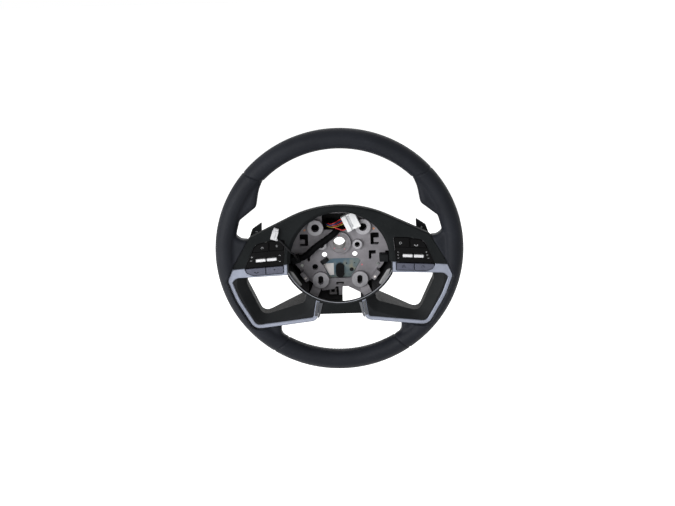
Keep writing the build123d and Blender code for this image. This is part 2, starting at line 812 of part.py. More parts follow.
def dish(lift, inset):
    """All that lies in front of the dish, over the outline set in by an inset."""
    with BuildPart() as room:
        with BuildSketch(facing(-REAR_DEPTH)):
            add(core_face.sketch)
            offset(amount=-inset, kind=Kind.INTERSECTION, mode=Mode.REPLACE)
            for gap in both_sides(hand_gap.sketch):
                with BuildSketch(mode=Mode.SUBTRACT):
                    add(gap)
                    if inset > FIT:
                        offset(amount=inset - FIT, kind=Kind.INTERSECTION, mode=Mode.REPLACE)
        extrude(amount=PARTING_HEIGHT + REAR_DEPTH)
        add(dish_profile(lift), mode=Mode.INTERSECT)
        add(roof(inset), mode=Mode.INTERSECT)
    return room.part


rear_inside = REAR_WALL - REAR_DEPTH
with BuildPart() as rear_cover:
    add(dish(0, FIT))
    add(dish(REAR_WALL, FIT + REAR_WALL), mode=Mode.SUBTRACT)
    # Room for the arms, the paddles and the cable exit at the lower right
    add(arm_solids(ARM_ROOM), mode=Mode.SUBTRACT)
    with BuildSketch(facing(PADDLE_SLOT_LOW)):
        with twin(PADDLE_PIVOT_X + (PADDLE_NECK + PADDLE_REACH) / 2, PADDLE_LOW_Z - RUNNING_GAP):
            Rectangle(
                PADDLE_REACH - PADDLE_NECK + 2 * PADDLE_SLOT_CLEARANCE, far, align=(Align.CENTER, Align.MIN)
            )
    extrude(amount=PADDLE_SLOT_TOP - PADDLE_SLOT_LOW, mode=Mode.SUBTRACT)
    with BuildSketch(facing(-REAR_DEPTH)):
        with Locations(((CABLE_EXIT[0] + CABLE_EXIT[1]) / 2, CABLE_EXIT_TOP_Z)):
            Rectangle(CABLE_EXIT[1] - CABLE_EXIT[0], far, align=(Align.CENTER, Align.MAX))
    extrude(amount=REAR_DEPTH + CABLE_EXIT_HEIGHT, mode=Mode.SUBTRACT)
    with BuildSketch(facing(-REAR_DEPTH)):
        Circle(REAR_COLUMN_RADIUS)
    extrude(amount=REAR_WALL * 2, mode=Mode.SUBTRACT)
    # Screw posts up to the hub plate, with countersunk seats behind
    with BuildSketch(facing(rear_inside)):
        with twin(*REAR_POST):
            Circle(REAR_POST_RADIUS)
    extrude(amount=plate_back - rear_inside)
    with BuildSketch(facing(-REAR_DEPTH)):
        with twin(*REAR_POST):
            Circle(SCREW_RADIUS + FIT)
    extrude(amount=far / 4, mode=Mode.SUBTRACT)
    with BuildSketch(facing(-REAR_DEPTH)):
        with twin(*REAR_POST):
            Circle(SCREW_HEAD_RADIUS + FIT)
    extrude(amount=SCREW_HEAD, mode=Mode.SUBTRACT)


def screws(spot, seat, tip, facing_driver):
    """A pair of pan-head screws, one on each side, from the seat of the head to the tip."""
    head = SCREW_HEAD if facing_driver else -SCREW_HEAD
    with BuildPart() as pair:
        with BuildSketch(facing(tip)):
            with twin(*spot):
                Circle(SCREW_RADIUS)
        extrude(amount=seat - tip)
        with BuildSketch(facing(seat)):
            with twin(*spot):
                Circle(SCREW_HEAD_RADIUS)
        extrude(amount=head)
    return pair.part


rear_cover_screws = screws(REAR_POST, SCREW_HEAD - REAR_DEPTH, plate_back + REAR_SCREW_GRIP, False)
switch_screws = screws(SWITCH_SCREW, PLATE_TOP, plate_back, True)

# Switch cluster on the right: a gloss housing with key wells, and the circuit board behind it
row_slope = sin(radians(BAR_SLOPE))


def row_z(x):
    """Height in the view of the line under the top row of keys."""
    return ROW_Z + row_slope * (x - COLUMN_X)


with BuildSketch() as bezel_inside:
    add(panel_outline)
    offset(amount=-BEZEL, mode=Mode.REPLACE)


def top_cell(inner):
    """The well of one key of the top row, on the hub's side or the rim's side."""
    edge = COLUMN_X - KEY_GAP / 2 if inner else COLUMN_X + KEY_GAP / 2
    end = 0 if inner else far
    lean = COLUMN_LEAN * (WEB_TOP_Z - ROW_Z)
    with BuildSketch() as cell:
        add(bezel_inside.sketch)
        add(
            region([(edge, row_z(edge)), (end, row_z(end)), (end, far / 4), (edge - lean, far / 4)], 0),
            mode=Mode.INTERSECT,
        )
    return cell.sketch


def key(cell, surface):
    """A push key that fills its well but for a running gap, a little proud of the surface around."""
    bottom = PANEL_FLOOR + KEY_TRAVEL + KEY_FLOOR_GAP
    with BuildPart() as cap:
        with BuildSketch(facing(bottom)):
            add(cell)
            offset(amount=-RUNNING_GAP, mode=Mode.REPLACE)
        extrude(amount=surface + KEY_PROUD - bottom)
        chamfer(cap.faces().sort_by(Axis.Y)[0].edges(), KEY_EDGE)
    return cap.part


def silver_half(inner):
    """The well of one of the two silver keys."""
    edge = SILVER_SPLIT_X - KEY_GAP / 2 + RUNNING_GAP
    align = Align.MAX
    if not inner:
        edge = SILVER_SPLIT_X + KEY_GAP / 2 - RUNNING_GAP
        align = Align.MIN
    with BuildSketch() as half:
        add(silver_keys)
        with Locations((edge, 0)):
            Rectangle(far, far, align=(align, Align.CENTER), mode=Mode.INTERSECT)
    return half.sketch


# The two rocking bars stand in one line across the lower part of the panel
bar_slant = radians(BAR_SLOPE)
bar_pivot = PANEL_FLOOR + BAR_HEIGHT / 2
bar_step = (BAR_LENGTH + BAR_GAP) / 2
pivot_reach = BAR_LENGTH / 2 + BAR_PIVOT_LENGTH


def bar_plane(side, height):
    """The face plane of one bar, at its middle: side is 1 for the outer bar, -1 for the inner."""
    x = BAR_CENTRE[0] + side * bar_step * cos(bar_slant)
    z = BAR_CENTRE[1] + side * bar_step * sin(bar_slant)
    return Plane(origin=(x, -height, z), x_dir=(cos(bar_slant), 0, sin(bar_slant)), z_dir=(0, -1, 0))


def pivot_plane(side):
    """The plane across the pivot of one bar."""
    face = bar_plane(side, bar_pivot)
    return Plane(face.origin, x_dir=(0, -1, 0), z_dir=face.x_dir)


def rocker(side):
    """A rocking bar with the barrel and the pins that it turns on."""
    with BuildPart() as toggle:
        with BuildSketch(bar_plane(side, bar_pivot)):
            RectangleRounded(BAR_LENGTH, BAR_HEIGHT, BAR_EDGE * 1.5)
        extrude(amount=FRONT_HEIGHT + BAR_PROUD - bar_pivot)
        chamfer(toggle.faces().sort_by(Axis.Y)[0].edges(), BAR_EDGE)
        with BuildSketch(pivot_plane(side)):
            Circle(BAR_HEIGHT / 2 - RUNNING_GAP)
        extrude(amount=BAR_LENGTH / 2, both=True)
        with BuildSketch(pivot_plane(side)):
            Circle(BAR_PIVOT_RADIUS)
        extrude(amount=pivot_reach, both=True)
    return toggle.part


with BuildPart() as right_switch_housing:
    with BuildSketch(facing(PANEL_BACK)):
        add(panel_outline)
        offset(amount=-FIT, mode=Mode.REPLACE)
    extrude(amount=FRONT_HEIGHT - PANEL_RECESS - PANEL_BACK)
    # The floor runs on below the silver keys
    with BuildSketch(facing(PANEL_BACK)):
        add(silver_keys)
        with Locations((SILVER_SPLIT_X, key_points[0][1])):
            Rectangle(*SILVER_NECK)
    extrude(amount=PANEL_FLOOR - PANEL_BACK)
    with BuildSketch(facing(PANEL_FLOOR)):
        add(top_cell(True))
        add(top_cell(False))
    extrude(amount=far / 4, mode=Mode.SUBTRACT)
    for side in (1, -1):
        with BuildSketch(bar_plane(side, PANEL_FLOOR)):
            Rectangle(BAR_LENGTH + 2 * RUNNING_GAP, BAR_HEIGHT + 2 * BAR_SWING_GAP)
        extrude(amount=far / 4, mode=Mode.SUBTRACT)
        with BuildSketch(pivot_plane(side)):
            Circle(BAR_PIVOT_RADIUS + RUNNING_GAP)
        extrude(amount=pivot_reach + FIT, both=True, mode=Mode.SUBTRACT)
with BuildPart() as right_switch_board:
    with BuildSketch(facing(PANEL_BACK - BOARD_THICKNESS)):
        add(panel_outline)
        offset(amount=-BEZEL * 2, mode=Mode.REPLACE)
    extrude(amount=BOARD_THICKNESS)

panel_front = FRONT_HEIGHT - PANEL_RECESS
right_controls = {
    "upper_outer_key": key(top_cell(False), panel_front),
    "upper_inner_key": key(top_cell(True), panel_front),
    "lower_outer_key": key(silver_half(False), FRONT_HEIGHT),
    "lower_inner_key": key(silver_half(True), FRONT_HEIGHT),
    "outer_toggle": rocker(1),
    "inner_toggle": rocker(-1),
}

# Shift paddle on the right, with its hinge pin and bracket
paddle_outline = region(
    [
        (PADDLE_PIVOT_X, PADDLE_LOW_Z + PADDLE_KNUCKLE_LENGTH),
        (PADDLE_PIVOT_X + PADDLE_NECK, PADDLE_LOW_Z + PADDLE_KNUCKLE_LENGTH),
        (PADDLE_PIVOT_X + PADDLE_NECK - 0.8, PADDLE_LOW_Z + 28.3),
        (PADDLE_PIVOT_X + PADDLE_REACH - 5.0, PADDLE_LOW_Z + 18.0),
        (PADDLE_PIVOT_X + PADDLE_REACH, PADDLE_LOW_Z + 4.0),
        (PADDLE_PIVOT_X + PADDLE_REACH - 2.5, PADDLE_LOW_Z),
        (PADDLE_PIVOT_X, PADDLE_LOW_Z),
    ],
    [0, 3, 1, 4, 2, 2, 0],
)
knuckle_plane = Plane(origin=(PADDLE_PIVOT_X, -PADDLE_HEIGHT, PADDLE_LOW_Z), z_dir=(0, 0, 1))
pin_plane = Plane(origin=(PADDLE_PIVOT_X, -PADDLE_HEIGHT, ear_low), z_dir=(0, 0, 1))
with BuildPart() as right_paddle:
    add(prism(paddle_outline, PADDLE_HEIGHT - PADDLE_THICKNESS / 2, PADDLE_HEIGHT + PADDLE_THICKNESS / 2))
    with BuildSketch(knuckle_plane):
        Circle(PADDLE_KNUCKLE_RADIUS)
    extrude(amount=PADDLE_KNUCKLE_LENGTH)
    with BuildSketch(knuckle_plane):
        Circle(PADDLE_PIN_RADIUS + FIT)
    extrude(amount=PADDLE_KNUCKLE_LENGTH, mode=Mode.SUBTRACT)
with BuildPart() as right_paddle_pin:
    with BuildSketch(pin_plane):
        Circle(PADDLE_PIN_RADIUS)
    extrude(amount=bracket_length)
with BuildPart() as right_paddle_bracket:
    with BuildSketch(facing(BRACKET_HEIGHT)):
        with Locations((PADDLE_PIVOT_X, ear_low)):
            Rectangle(BRACKET_WIDTH, bracket_length, align=(Align.CENTER, Align.MIN))
    extrude(amount=BRACKET_PLATE)
    with BuildSketch(facing(BRACKET_HEIGHT)):
        with Locations((PADDLE_PIVOT_X, ear_low), (PADDLE_PIVOT_X, bracket_top - BRACKET_EAR)):
            Rectangle(4 * PADDLE_KNUCKLE_RADIUS, BRACKET_EAR, align=(Align.CENTER, Align.MIN))
    extrude(amount=PADDLE_HEIGHT + PADDLE_KNUCKLE_RADIUS - BRACKET_HEIGHT)
    with BuildSketch(pin_plane):
        Circle(PADDLE_PIN_RADIUS + FIT / 2)
    extrude(amount=bracket_length, mode=Mode.SUBTRACT)

# Control module behind the large window, with a rubber grommet on its face
module_outline = region(
    [(-30, -27), (31, -27), (33, -34), (20, -63), (-20, -63), (-33, -34)], [3, 3, 4, 5, 5, 4]
)
control_module = prism(module_outline, plate_back - MODULE_THICKNESS, plate_back)
with BuildPart() as module_grommet:
    with BuildSketch(facing(plate_back)):
        with Locations((0, GROMMET_Z)):
            SlotOverall(GROMMET[1], GROMMET[0], rotation=90)
    extrude(amount=GROMMET_THICKNESS)


# Wiring

def tilted(centre, turn, height):
    """A plane facing the driver over a spot of the front view, turned about that spot."""
    a = radians(turn)
    return Plane(origin=(centre[0], -height, centre[1]), x_dir=(cos(a), 0, sin(a)), z_dir=(0, -1, 0))


def spot(plane, x, y):
    """A point of a plane, as x, z and height."""
    place = plane.from_local_coords((x, y, 0))
    return place.X, place.Z, -place.Y


def cord(points, radius):
    """A round cord through points of x, z and height, with each bend as large as its runs allow."""
    spots = [Vector(x, -height, z) for x, z, height in points]
    runs = [end - start for start, end in zip(spots, spots[1:])]
    radii = [
        0.45 * min(before.length, after.length) / tan(radians(before.get_angle(after)) / 2)
        for before, after in zip(runs, runs[1:])
    ]
    print("Bend radii:", [round(r, 1) for r in radii])
    with BuildPart() as tube:
        with BuildLine() as route:
            FilletPolyline(*spots, radius=radii)
        with BuildSketch(Plane(origin=spots[0], z_dir=runs[0])):
            Circle(radius)
        sweep(path=route.line)
    return tube.part


def plug(plane, size, thickness):
    """The shell of a plug lying on a plane."""
    with BuildPart() as shell:
        with BuildSketch(plane):
            Rectangle(*size)
        extrude(amount=thickness)
    return shell.part


left_plug_plane = tilted(LEFT_PLUG, LEFT_PLUG_TURN, PLATE_TOP)
left_plug = plug(left_plug_plane, PLUG, PLUG_HEIGHT)
right_plug = plug(tilted(RIGHT_PLUG, 0, PLATE_TOP), PLUG, PLUG_HEIGHT)
sleeve_start = spot(left_plug_plane.offset(PLUG_HEIGHT / 2 + 1.6), PLUG[0] / 2, 0)
harness_sleeve = cord(
    [
        sleeve_start,
        (-54.5, -19.65, 4.6),
        (-46.5, -13.5, 6.4),
        (-38.5, -5.0, 8.0),
        (-28.0, 2.5, 8.6),
        (-17.0, 10.0, 8.8),
        (-5.0, 18.6, 8.6),
        (-0.5, 26.84, -3.8),
        (-2.0, 28.5, -11.5),
    ],
    SLEEVE_RADIUS,
)
tape_points = [
    (-2.0, 28.5, -11.5),
    (-2.9, 29.5, -16.1),
    (-8.0, 31.5, -19.8),
    (-14.5, 32.5, -19.4),
    (-19.6, 32.4, -14.6),
    (-21.0, 31.8, -8.0),
    (-20.2, 31.0, -1.6),
    (-17.0, 30.2, 3.4),
]
wire_tape = cord(tape_points, TAPE_RADIUS)

# Large white plug over the upper right boss, and the loose wires to it from the tape's mouth
main_connector_plane = tilted(MAIN_CONNECTOR_CENTRE, MAIN_CONNECTOR_TURN, AIRBAG_BOSS_TOP + FIT)
main_connector = plug(main_connector_plane, MAIN_CONNECTOR, MAIN_CONNECTOR_THICKNESS)
wire_level = main_connector_plane.offset(MAIN_CONNECTOR_THICKNESS / 2)
mouth = [Vector(x, -height, z) for x, z, height in tape_points[-2:]]
mouth_plane = Plane(origin=mouth[1], x_dir=(0, 0, 1), z_dir=mouth[1] - mouth[0])


def wire(turn, entry, loop):
    """One wire, from its place around the tape's mouth, by a loop point, to an entry along the plug's side."""
    x = WIRE_RING_RADIUS * cos(radians(turn))
    y = WIRE_RING_RADIUS * sin(radians(turn))
    side = -MAIN_CONNECTOR[0] / 2
    return cord(
        [
            spot(mouth_plane, x, y),
            spot(mouth_plane.offset(4.6), x, y),
            loop,
            spot(wire_level, side - 6.0, entry),
            spot(wire_level, side, entry),
        ],
        WIRE_RADIUS,
    )


red_wires = [
    wire(0, 9.5, (-8.0, 35.6, 9.0)),
    wire(288, 4.1, (-6.5, 32.0, 8.0)),
    wire(216, -8.0, (0.0, 28.6, 7.6)),
]
blue_wire = wire(72, 6.8, (-8.5, 33.4, 12.4))
yellow_wire = wire(144, 1.4, (-7.0, 29.4, 12.0))

# Small white plug lying on the left wing, with its thin lead out of the hub
small_connector_plane = tilted(SMALL_CONNECTOR_CENTRE, SMALL_CONNECTOR_TURN, FRONT_HEIGHT + FIT)
small_connector = plug(small_connector_plane, SMALL_CONNECTOR, SMALL_CONNECTOR_THICKNESS)
lead_level = small_connector_plane.offset(SMALL_CONNECTOR_THICKNESS / 2)
small_lead = cord(
    [
        (-66.0, -20.5, PLATE_TOP + PLUG_HEIGHT),
        (-66.0, -20.5, 19.5),
        (-65.4, -17.0, 29.5),
        (-65.4, -11.5, 39.0),
        (-66.5, -5.5, 48.5),
        (-69.0, 0.0, 57.5),
        (-73.5, 5.0, 62.4),
        (-81.5, 15.5, 63.0),
        spot(lead_level, SMALL_CONNECTOR[0] / 2 + 4.6, -8.0),
        spot(lead_level, SMALL_CONNECTOR[0] / 2, -8.0),
    ],
    LEAD_RADIUS,
)

# Every piece under its own name
pieces = {
    "armature": armature.part,
    "column_boss": column_boss.part,
    "rim_foam": rim_foam.part,
    "leather_upper": leather_upper,
    "leather_lower": leather_lower,
    "leather_right": leather_right.part,
    "leather_left": mirrored(leather_right.part),
    "front_cover": front_cover.part,
    "hub_ring": hub_ring.part,
    "bridge_cover": bridge_cover.part,
    "rear_cover": rear_cover.part,
    "rear_cover_screws": rear_cover_screws,
    "switch_screws": switch_screws,
    "control_module": control_module,
    "module_grommet": module_grommet.part,
    "left_plug": left_plug,
    "right_plug": right_plug,
    "harness_sleeve": harness_sleeve,
    "wire_tape": wire_tape,
    "red_wires": Compound(red_wires),
    "blue_wire": blue_wire,
    "yellow_wire": yellow_wire,
    "main_connector": main_connector,
    "small_connector": small_connector,
    "small_lead": small_lead,
}
right_pieces = {
    "trim": right_trim.part,
    "spoke_frame": right_spoke_frame.part,
    "switch_housing": right_switch_housing.part,
    "switch_board": right_switch_board.part,
    "paddle": right_paddle.part,
    "paddle_pin": right_paddle_pin.part,
    "paddle_bracket": right_paddle_bracket.part,
    **right_controls,
}
for name, piece in right_pieces.items():
    pieces["right_" + name] = piece
    pieces["left_" + name] = mirrored(piece)

os.makedirs("parts", exist_ok=True)
for name, piece in pieces.items():
    piece.label = name
    export_step(piece, f"parts/{name}.step")
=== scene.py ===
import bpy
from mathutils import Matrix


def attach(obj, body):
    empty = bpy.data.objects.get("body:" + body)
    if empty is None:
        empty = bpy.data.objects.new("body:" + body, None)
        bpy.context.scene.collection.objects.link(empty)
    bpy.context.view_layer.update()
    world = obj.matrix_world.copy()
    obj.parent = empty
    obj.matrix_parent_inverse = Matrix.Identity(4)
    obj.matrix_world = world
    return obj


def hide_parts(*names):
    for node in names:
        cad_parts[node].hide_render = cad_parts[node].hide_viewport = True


bl_info = {
    "name": "Car steering wheel",
    "version": (1, 0, 0),
    "blender": (4, 5, 0),
    "location": "3D View > Sidebar > Wheel",
    "description": "Dresses a packed steering wheel with leather, trims, switches, hub and wiring",
    "category": "Object",
}

import math

import bmesh
import bpy
import numpy as np
from bpy.props import FloatProperty, FloatVectorProperty, IntProperty, PointerProperty
from mathutils import Matrix, Vector

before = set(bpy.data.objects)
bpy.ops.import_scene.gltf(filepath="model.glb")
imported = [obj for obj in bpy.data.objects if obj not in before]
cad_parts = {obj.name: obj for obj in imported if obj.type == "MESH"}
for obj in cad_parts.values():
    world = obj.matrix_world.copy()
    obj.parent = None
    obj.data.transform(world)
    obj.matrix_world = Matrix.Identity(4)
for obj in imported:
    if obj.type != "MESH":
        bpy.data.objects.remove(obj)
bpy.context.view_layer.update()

MM = 0.001
WHEEL = "wheel"
SIDES = (("left", -1), ("right", 1))
ROUNDED_ANGLE = math.radians(40.0)
LEATHER_NODES = ("leather_upper", "leather_left", "leather_lower", "leather_right")


class WheelSizes(bpy.types.PropertyGroup):
    """Sizes that a maker would change."""

    rim_radius: FloatProperty(
        name="Rim radius", description="Outer radius of the rim", default=0.185, unit="LENGTH"
    )
    grip_width: FloatProperty(
        name="Grip width", description="Width of the grip seen from the front", default=0.030, unit="LENGTH"
    )
    grip_depth: FloatProperty(
        name="Grip depth", description="Depth of the grip from front to back", default=0.033, unit="LENGTH"
    )
    rim_height: FloatProperty(
        name="Rim height",
        description="How far the middle of the grip stands in front of the column boss",
        default=0.050,
        unit="LENGTH",
    )
    upper_seam: FloatProperty(
        name="Upper seam",
        description="Angle of the upper leather seams above the horizontal",
        default=math.radians(43.5),
        subtype="ANGLE",
    )
    lower_seam: FloatProperty(
        name="Lower seam",
        description="Angle of the lower leather seams below the horizontal",
        default=math.radians(57.3),
        subtype="ANGLE",
    )
    seam_slant: FloatProperty(
        name="Seam slant",
        description="How far the leather seams lean from the radius towards the horizontal",
        default=math.radians(18.0),
        subtype="ANGLE",
    )
    skin_cell: FloatProperty(
        name="Skin cell", description="Cell size of the leather's mesh", default=0.0015, unit="LENGTH"
    )
    groove_depth: FloatProperty(
        name="Groove depth",
        description="Depth of the leather's tuck at a seam",
        default=0.0012,
        unit="LENGTH",
    )
    groove_width: FloatProperty(
        name="Groove width",
        description="Half width of the leather's tuck at a seam",
        default=0.0011,
        unit="LENGTH",
    )
    stitch_pitch: FloatProperty(
        name="Stitch pitch", description="Distance from stitch to stitch", default=0.0046, unit="LENGTH"
    )
    stitch_length: FloatProperty(
        name="Stitch length", description="Length of one stitch", default=0.0034, unit="LENGTH"
    )
    thread_radius: FloatProperty(
        name="Thread radius", description="Radius of the sewing thread", default=0.0004, unit="LENGTH"
    )
    stitch_row: FloatProperty(
        name="Stitch row",
        description="Distance of each row of stitches from the closing seam",
        default=0.0019,
        unit="LENGTH",
    )
    wire_radius: FloatProperty(
        name="Wire radius", description="Radius of the loose wires", default=0.0008, unit="LENGTH"
    )
    lead_radius: FloatProperty(
        name="Lead radius", description="Radius of the thin lead", default=0.0012, unit="LENGTH"
    )
    sleeve_radius: FloatProperty(
        name="Sleeve radius", description="Radius of the wrapped harness", default=0.0050, unit="LENGTH"
    )
    tape_radius: FloatProperty(
        name="Tape radius", description="Radius of the taped wires", default=0.0032, unit="LENGTH"
    )
    spline_teeth: IntProperty(
        name="Spline teeth", description="Teeth in the bore of the column boss", default=36, min=8, max=90
    )


class WheelColours(bpy.types.PropertyGroup):
    """Colours that a maker would change."""

    leather: FloatVectorProperty(
        name="Leather",
        description="Colour of the leather",
        default=(0.0098, 0.0111, 0.0150),
        subtype="COLOR",
        min=0,
        max=1,
    )
    cover: FloatVectorProperty(
        name="Cover",
        description="Colour of the soft black covers",
        default=(0.0098, 0.0110, 0.0116),
        subtype="COLOR",
        min=0,
        max=1,
    )
    silver: FloatVectorProperty(
        name="Silver",
        description="Colour of the silver trims",
        default=(0.215, 0.234, 0.292),
        subtype="COLOR",
        min=0,
        max=1,
    )
    casting: FloatVectorProperty(
        name="Casting",
        description="Colour of the cast armature",
        default=(0.200, 0.191, 0.206),
        subtype="COLOR",
        min=0,
        max=1,
    )


# Places and meshes


def at(x, z, height):
    """A point given in millimetres across, up and towards the driver."""
    return Vector((x, -height, z)) * MM


def lying(x, z, height, turn=0.0):
    """The frame of something that lies facing the driver at a point, turned about it by degrees."""
    a = math.radians(turn)
    across, along = Vector((math.cos(a), 0, math.sin(a))), Vector((-math.sin(a), 0, math.cos(a)))
    axes = Matrix((across, along, Vector((0, -1, 0)))).transposed().to_4x4()
    return Matrix.Translation(at(x, z, height)) @ axes


def linked(name, data):
    """A new object in the scene."""
    made = bpy.data.objects.new(name, data)
    bpy.context.scene.collection.objects.link(made)
    return made


def mesh_of(name, bm):
    """A mesh from what was built."""
    mesh = bpy.data.meshes.new(name)
    bm.to_mesh(mesh)
    bm.free()
    return mesh


def worked_out(host, **options):
    """The plain mesh of an object with its modifiers applied; the object itself goes."""
    bpy.context.view_layer.update()
    graph = bpy.context.evaluated_depsgraph_get()
    mesh = bpy.data.meshes.new_from_object(host.evaluated_get(graph), depsgraph=graph, **options)
    bpy.data.objects.remove(host)
    return mesh


def piece(name, mesh, material, body=WHEEL, stands_for=(), sharp=35.0, edge=0.0, steps=2):
    """A finished piece: shaded, painted, riding on its body, with its edges rounded by millimetres."""
    if isinstance(mesh, bmesh.types.BMesh):
        mesh = mesh_of(name, mesh)
    mesh.polygons.foreach_set("use_smooth", [True] * len(mesh.polygons))
    mesh.set_sharp_from_angle(angle=math.radians(sharp))
    if not mesh.materials:
        mesh.materials.append(bpy.data.materials[material])
    obj = linked(name, mesh)
    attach(obj, body)
    if stands_for:
        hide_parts(*stands_for)
    if edge:
        bevel = obj.modifiers.new("Rounded edges", "BEVEL")
        bevel.width = edge * MM
        bevel.segments = steps
        bevel.limit_method = "ANGLE"
        bevel.angle_limit = ROUNDED_ANGLE
    return obj


def tidy_normals(bm):
    """Turns every face outwards."""
    bmesh.ops.recalc_face_normals(bm, faces=bm.faces)
    return bm


def blocks(corners, place):
    """Boxes, each between two corners in millimetres, set in a frame."""
    bm = bmesh.new()
    for low, high in corners:
        for v in bmesh.ops.create_cube(bm, size=1.0)["verts"]:
            share = v.co + Vector((0.5, 0.5, 0.5))
            v.co = place @ (Vector(a + (b - a) * s for a, b, s in zip(Vector(low), Vector(high), share)) * MM)
    return tidy_normals(bm)


def prism(bm, lower, upper):
    """Adds a closed body between two rows of corners."""
    low, high = ([bm.verts.new(co) for co in row] for row in (lower, upper))
    bm.faces.new(high)
    bm.faces.new(low[::-1])
    for i in range(len(low)):
        j = (i + 1) % len(low)
        bm.faces.new((low[i], low[j], high[j], high[i]))


def plates(rows):
    """Flat plates, each over an outline in millimetres, set in a frame, from one height to another."""
    bm = bmesh.new()
    for outline, place, bottom, top in rows:
        levels = ([place @ (Vector((x, y, h)) * MM) for x, y in outline] for h in (bottom, top))
        prism(bm, *levels)
    return tidy_normals(bm)


def circle(radius, count, x=0.0, y=0.0, flat=1.0):
    """The corners of a round outline in millimetres."""
    turns = [2 * math.pi * i / count for i in range(count)]
    return [(x + radius * math.cos(t), y + radius * flat * math.sin(t)) for t in turns]


# Nodes


def feed(tree, value, socket):
    """Sets a socket to a number, or links another socket to it."""
    if isinstance(value, bpy.types.NodeSocket):
        tree.links.new(value, socket)
    else:
        socket.default_value = value


def add_node(tree, kind, settings=None, **inputs):
    """A node with its settings and inputs; an underscore in an input's name stands for a blank."""
    made = tree.nodes.new(kind)
    for label, value in (settings or {}).items():
        setattr(made, label, value)
    for label, value in inputs.items():
        feed(tree, value, made.inputs[label.replace("_", " ")])
    return made


def maths(tree, operation, a, b):
    """A math node on numbers or sockets."""
    made = add_node(tree, "ShaderNodeMath", {"operation": operation})
    feed(tree, a, made.inputs[0])
    feed(tree, b, made.inputs[1])
    return made.outputs[0]


def vector_of(tree, x, y, z):
    """A vector from numbers or sockets."""
    return add_node(tree, "ShaderNodeCombineXYZ", X=x, Y=y, Z=z).outputs[0]


# Shader groups and finishes

GRAIN_HEIGHT = 0.0004
GRAIN_WANDER = (0.0006, 0.0006, 0.0006)


def shader_group(name, inputs, outputs):
    """A shader group with named sockets, what it is given and what it puts out."""
    tree = bpy.data.node_groups.new(name, "ShaderNodeTree")
    for label, kind, default in inputs:
        socket = tree.interface.new_socket(label, in_out="INPUT", socket_type="NodeSocket" + kind)
        if default is not None:
            socket.default_value = default
    for label, kind in outputs:
        tree.interface.new_socket(label, in_out="OUTPUT", socket_type="NodeSocket" + kind)
    return tree, tree.nodes.new("NodeGroupInput").outputs, tree.nodes.new("NodeGroupOutput").inputs


def noise(tree, vector, scale, detail=4.0, roughness=0.55):
    """A noise texture; its scale is a number or a socket."""
    made = add_node(tree, "ShaderNodeTexNoise", Detail=detail, Roughness=roughness, Vector=vector, Scale=scale)
    return made.outputs["Fac"]


def spread(tree, value, low, high, to_low=0.0, to_high=1.0):
    """A value stretched from one range to another."""
    made = add_node(
        tree, "ShaderNodeMapRange", Value=value, From_Min=low, From_Max=high, To_Min=to_low, To_Max=to_high
    )
    return made.outputs["Result"]


def mixed(tree, share, a, b):
    """One colour passing into another."""
    made = add_node(tree, "ShaderNodeMix", {"data_type": "RGBA"})
    feed(tree, share, made.inputs[0])
    for value, socket in ((a, made.inputs[6]), (b, made.inputs[7])):
        feed(tree, value if isinstance(value, bpy.types.NodeSocket) else (*value, 1.0), socket)
    return made.outputs[2]


def drift_group():
    """Slow drift of colour and roughness over a surface."""
    tree, given, out = shader_group(
        "Surface drift",
        [
            ("Vector", "Vector", None),
            ("Scale", "Float", 25.0),
            ("Colour", "Color", None),
            ("Tint", "Color", None),
            ("Roughness", "Float", 0.5),
            ("Spread", "Float", 0.06),
        ],
        [("Colour", "Color"), ("Roughness", "Float")],
    )
    slow = noise(tree, given["Vector"], given["Scale"], 5.0, 0.6)
    share = spread(tree, slow, 0.32, 0.68)
    tree.links.new(mixed(tree, share, given["Colour"], given["Tint"]), out["Colour"])
    quick = noise(tree, given["Vector"], maths(tree, "MULTIPLY", given["Scale"], 5.0))
    swing = maths(tree, "MULTIPLY", maths(tree, "SUBTRACT", quick, 0.5), given["Spread"])
    rough = maths(tree, "MULTIPLY_ADD", swing, 2.0)
    tree.links.new(given["Roughness"], rough.node.inputs[2])
    tree.links.new(rough, out["Roughness"])


def grain_group():
    """Height of a pebbled grain: cells with a finer tooth over them."""
    tree, given, out = shader_group(
        "Pebble grain",
        [
            ("Vector", "Vector", None),
            ("Cells", "Float", 900.0),
            ("Fine", "Float", 2500.0),
            ("Balance", "Float", 0.4),
        ],
        [("Height", "Float")],
    )
    coarse = maths(tree, "MULTIPLY", given["Cells"], 0.4)
    shift = add_node(tree, "ShaderNodeTexNoise", Vector=given["Vector"], Scale=coarse)
    wander = add_node(tree, "ShaderNodeVectorMath", {"operation": "MULTIPLY_ADD"})
    for value, socket in zip((shift.outputs["Color"], GRAIN_WANDER, given["Vector"]), wander.inputs):
        feed(tree, value, socket)
    cells = add_node(
        tree,
        "ShaderNodeTexVoronoi",
        {"feature": "DISTANCE_TO_EDGE"},
        Vector=wander.outputs[0],
        Scale=given["Cells"],
    )
    pebble = spread(tree, cells.outputs["Distance"], 0.0, 0.28)
    fine = noise(tree, given["Vector"], given["Fine"], 3.0)
    fine_part = maths(tree, "MULTIPLY", fine, given["Balance"])
    rest = maths(tree, "SUBTRACT", 1.0, given["Balance"])
    height = maths(tree, "ADD", fine_part, maths(tree, "MULTIPLY", pebble, rest))
    tree.links.new(height, out["Height"])


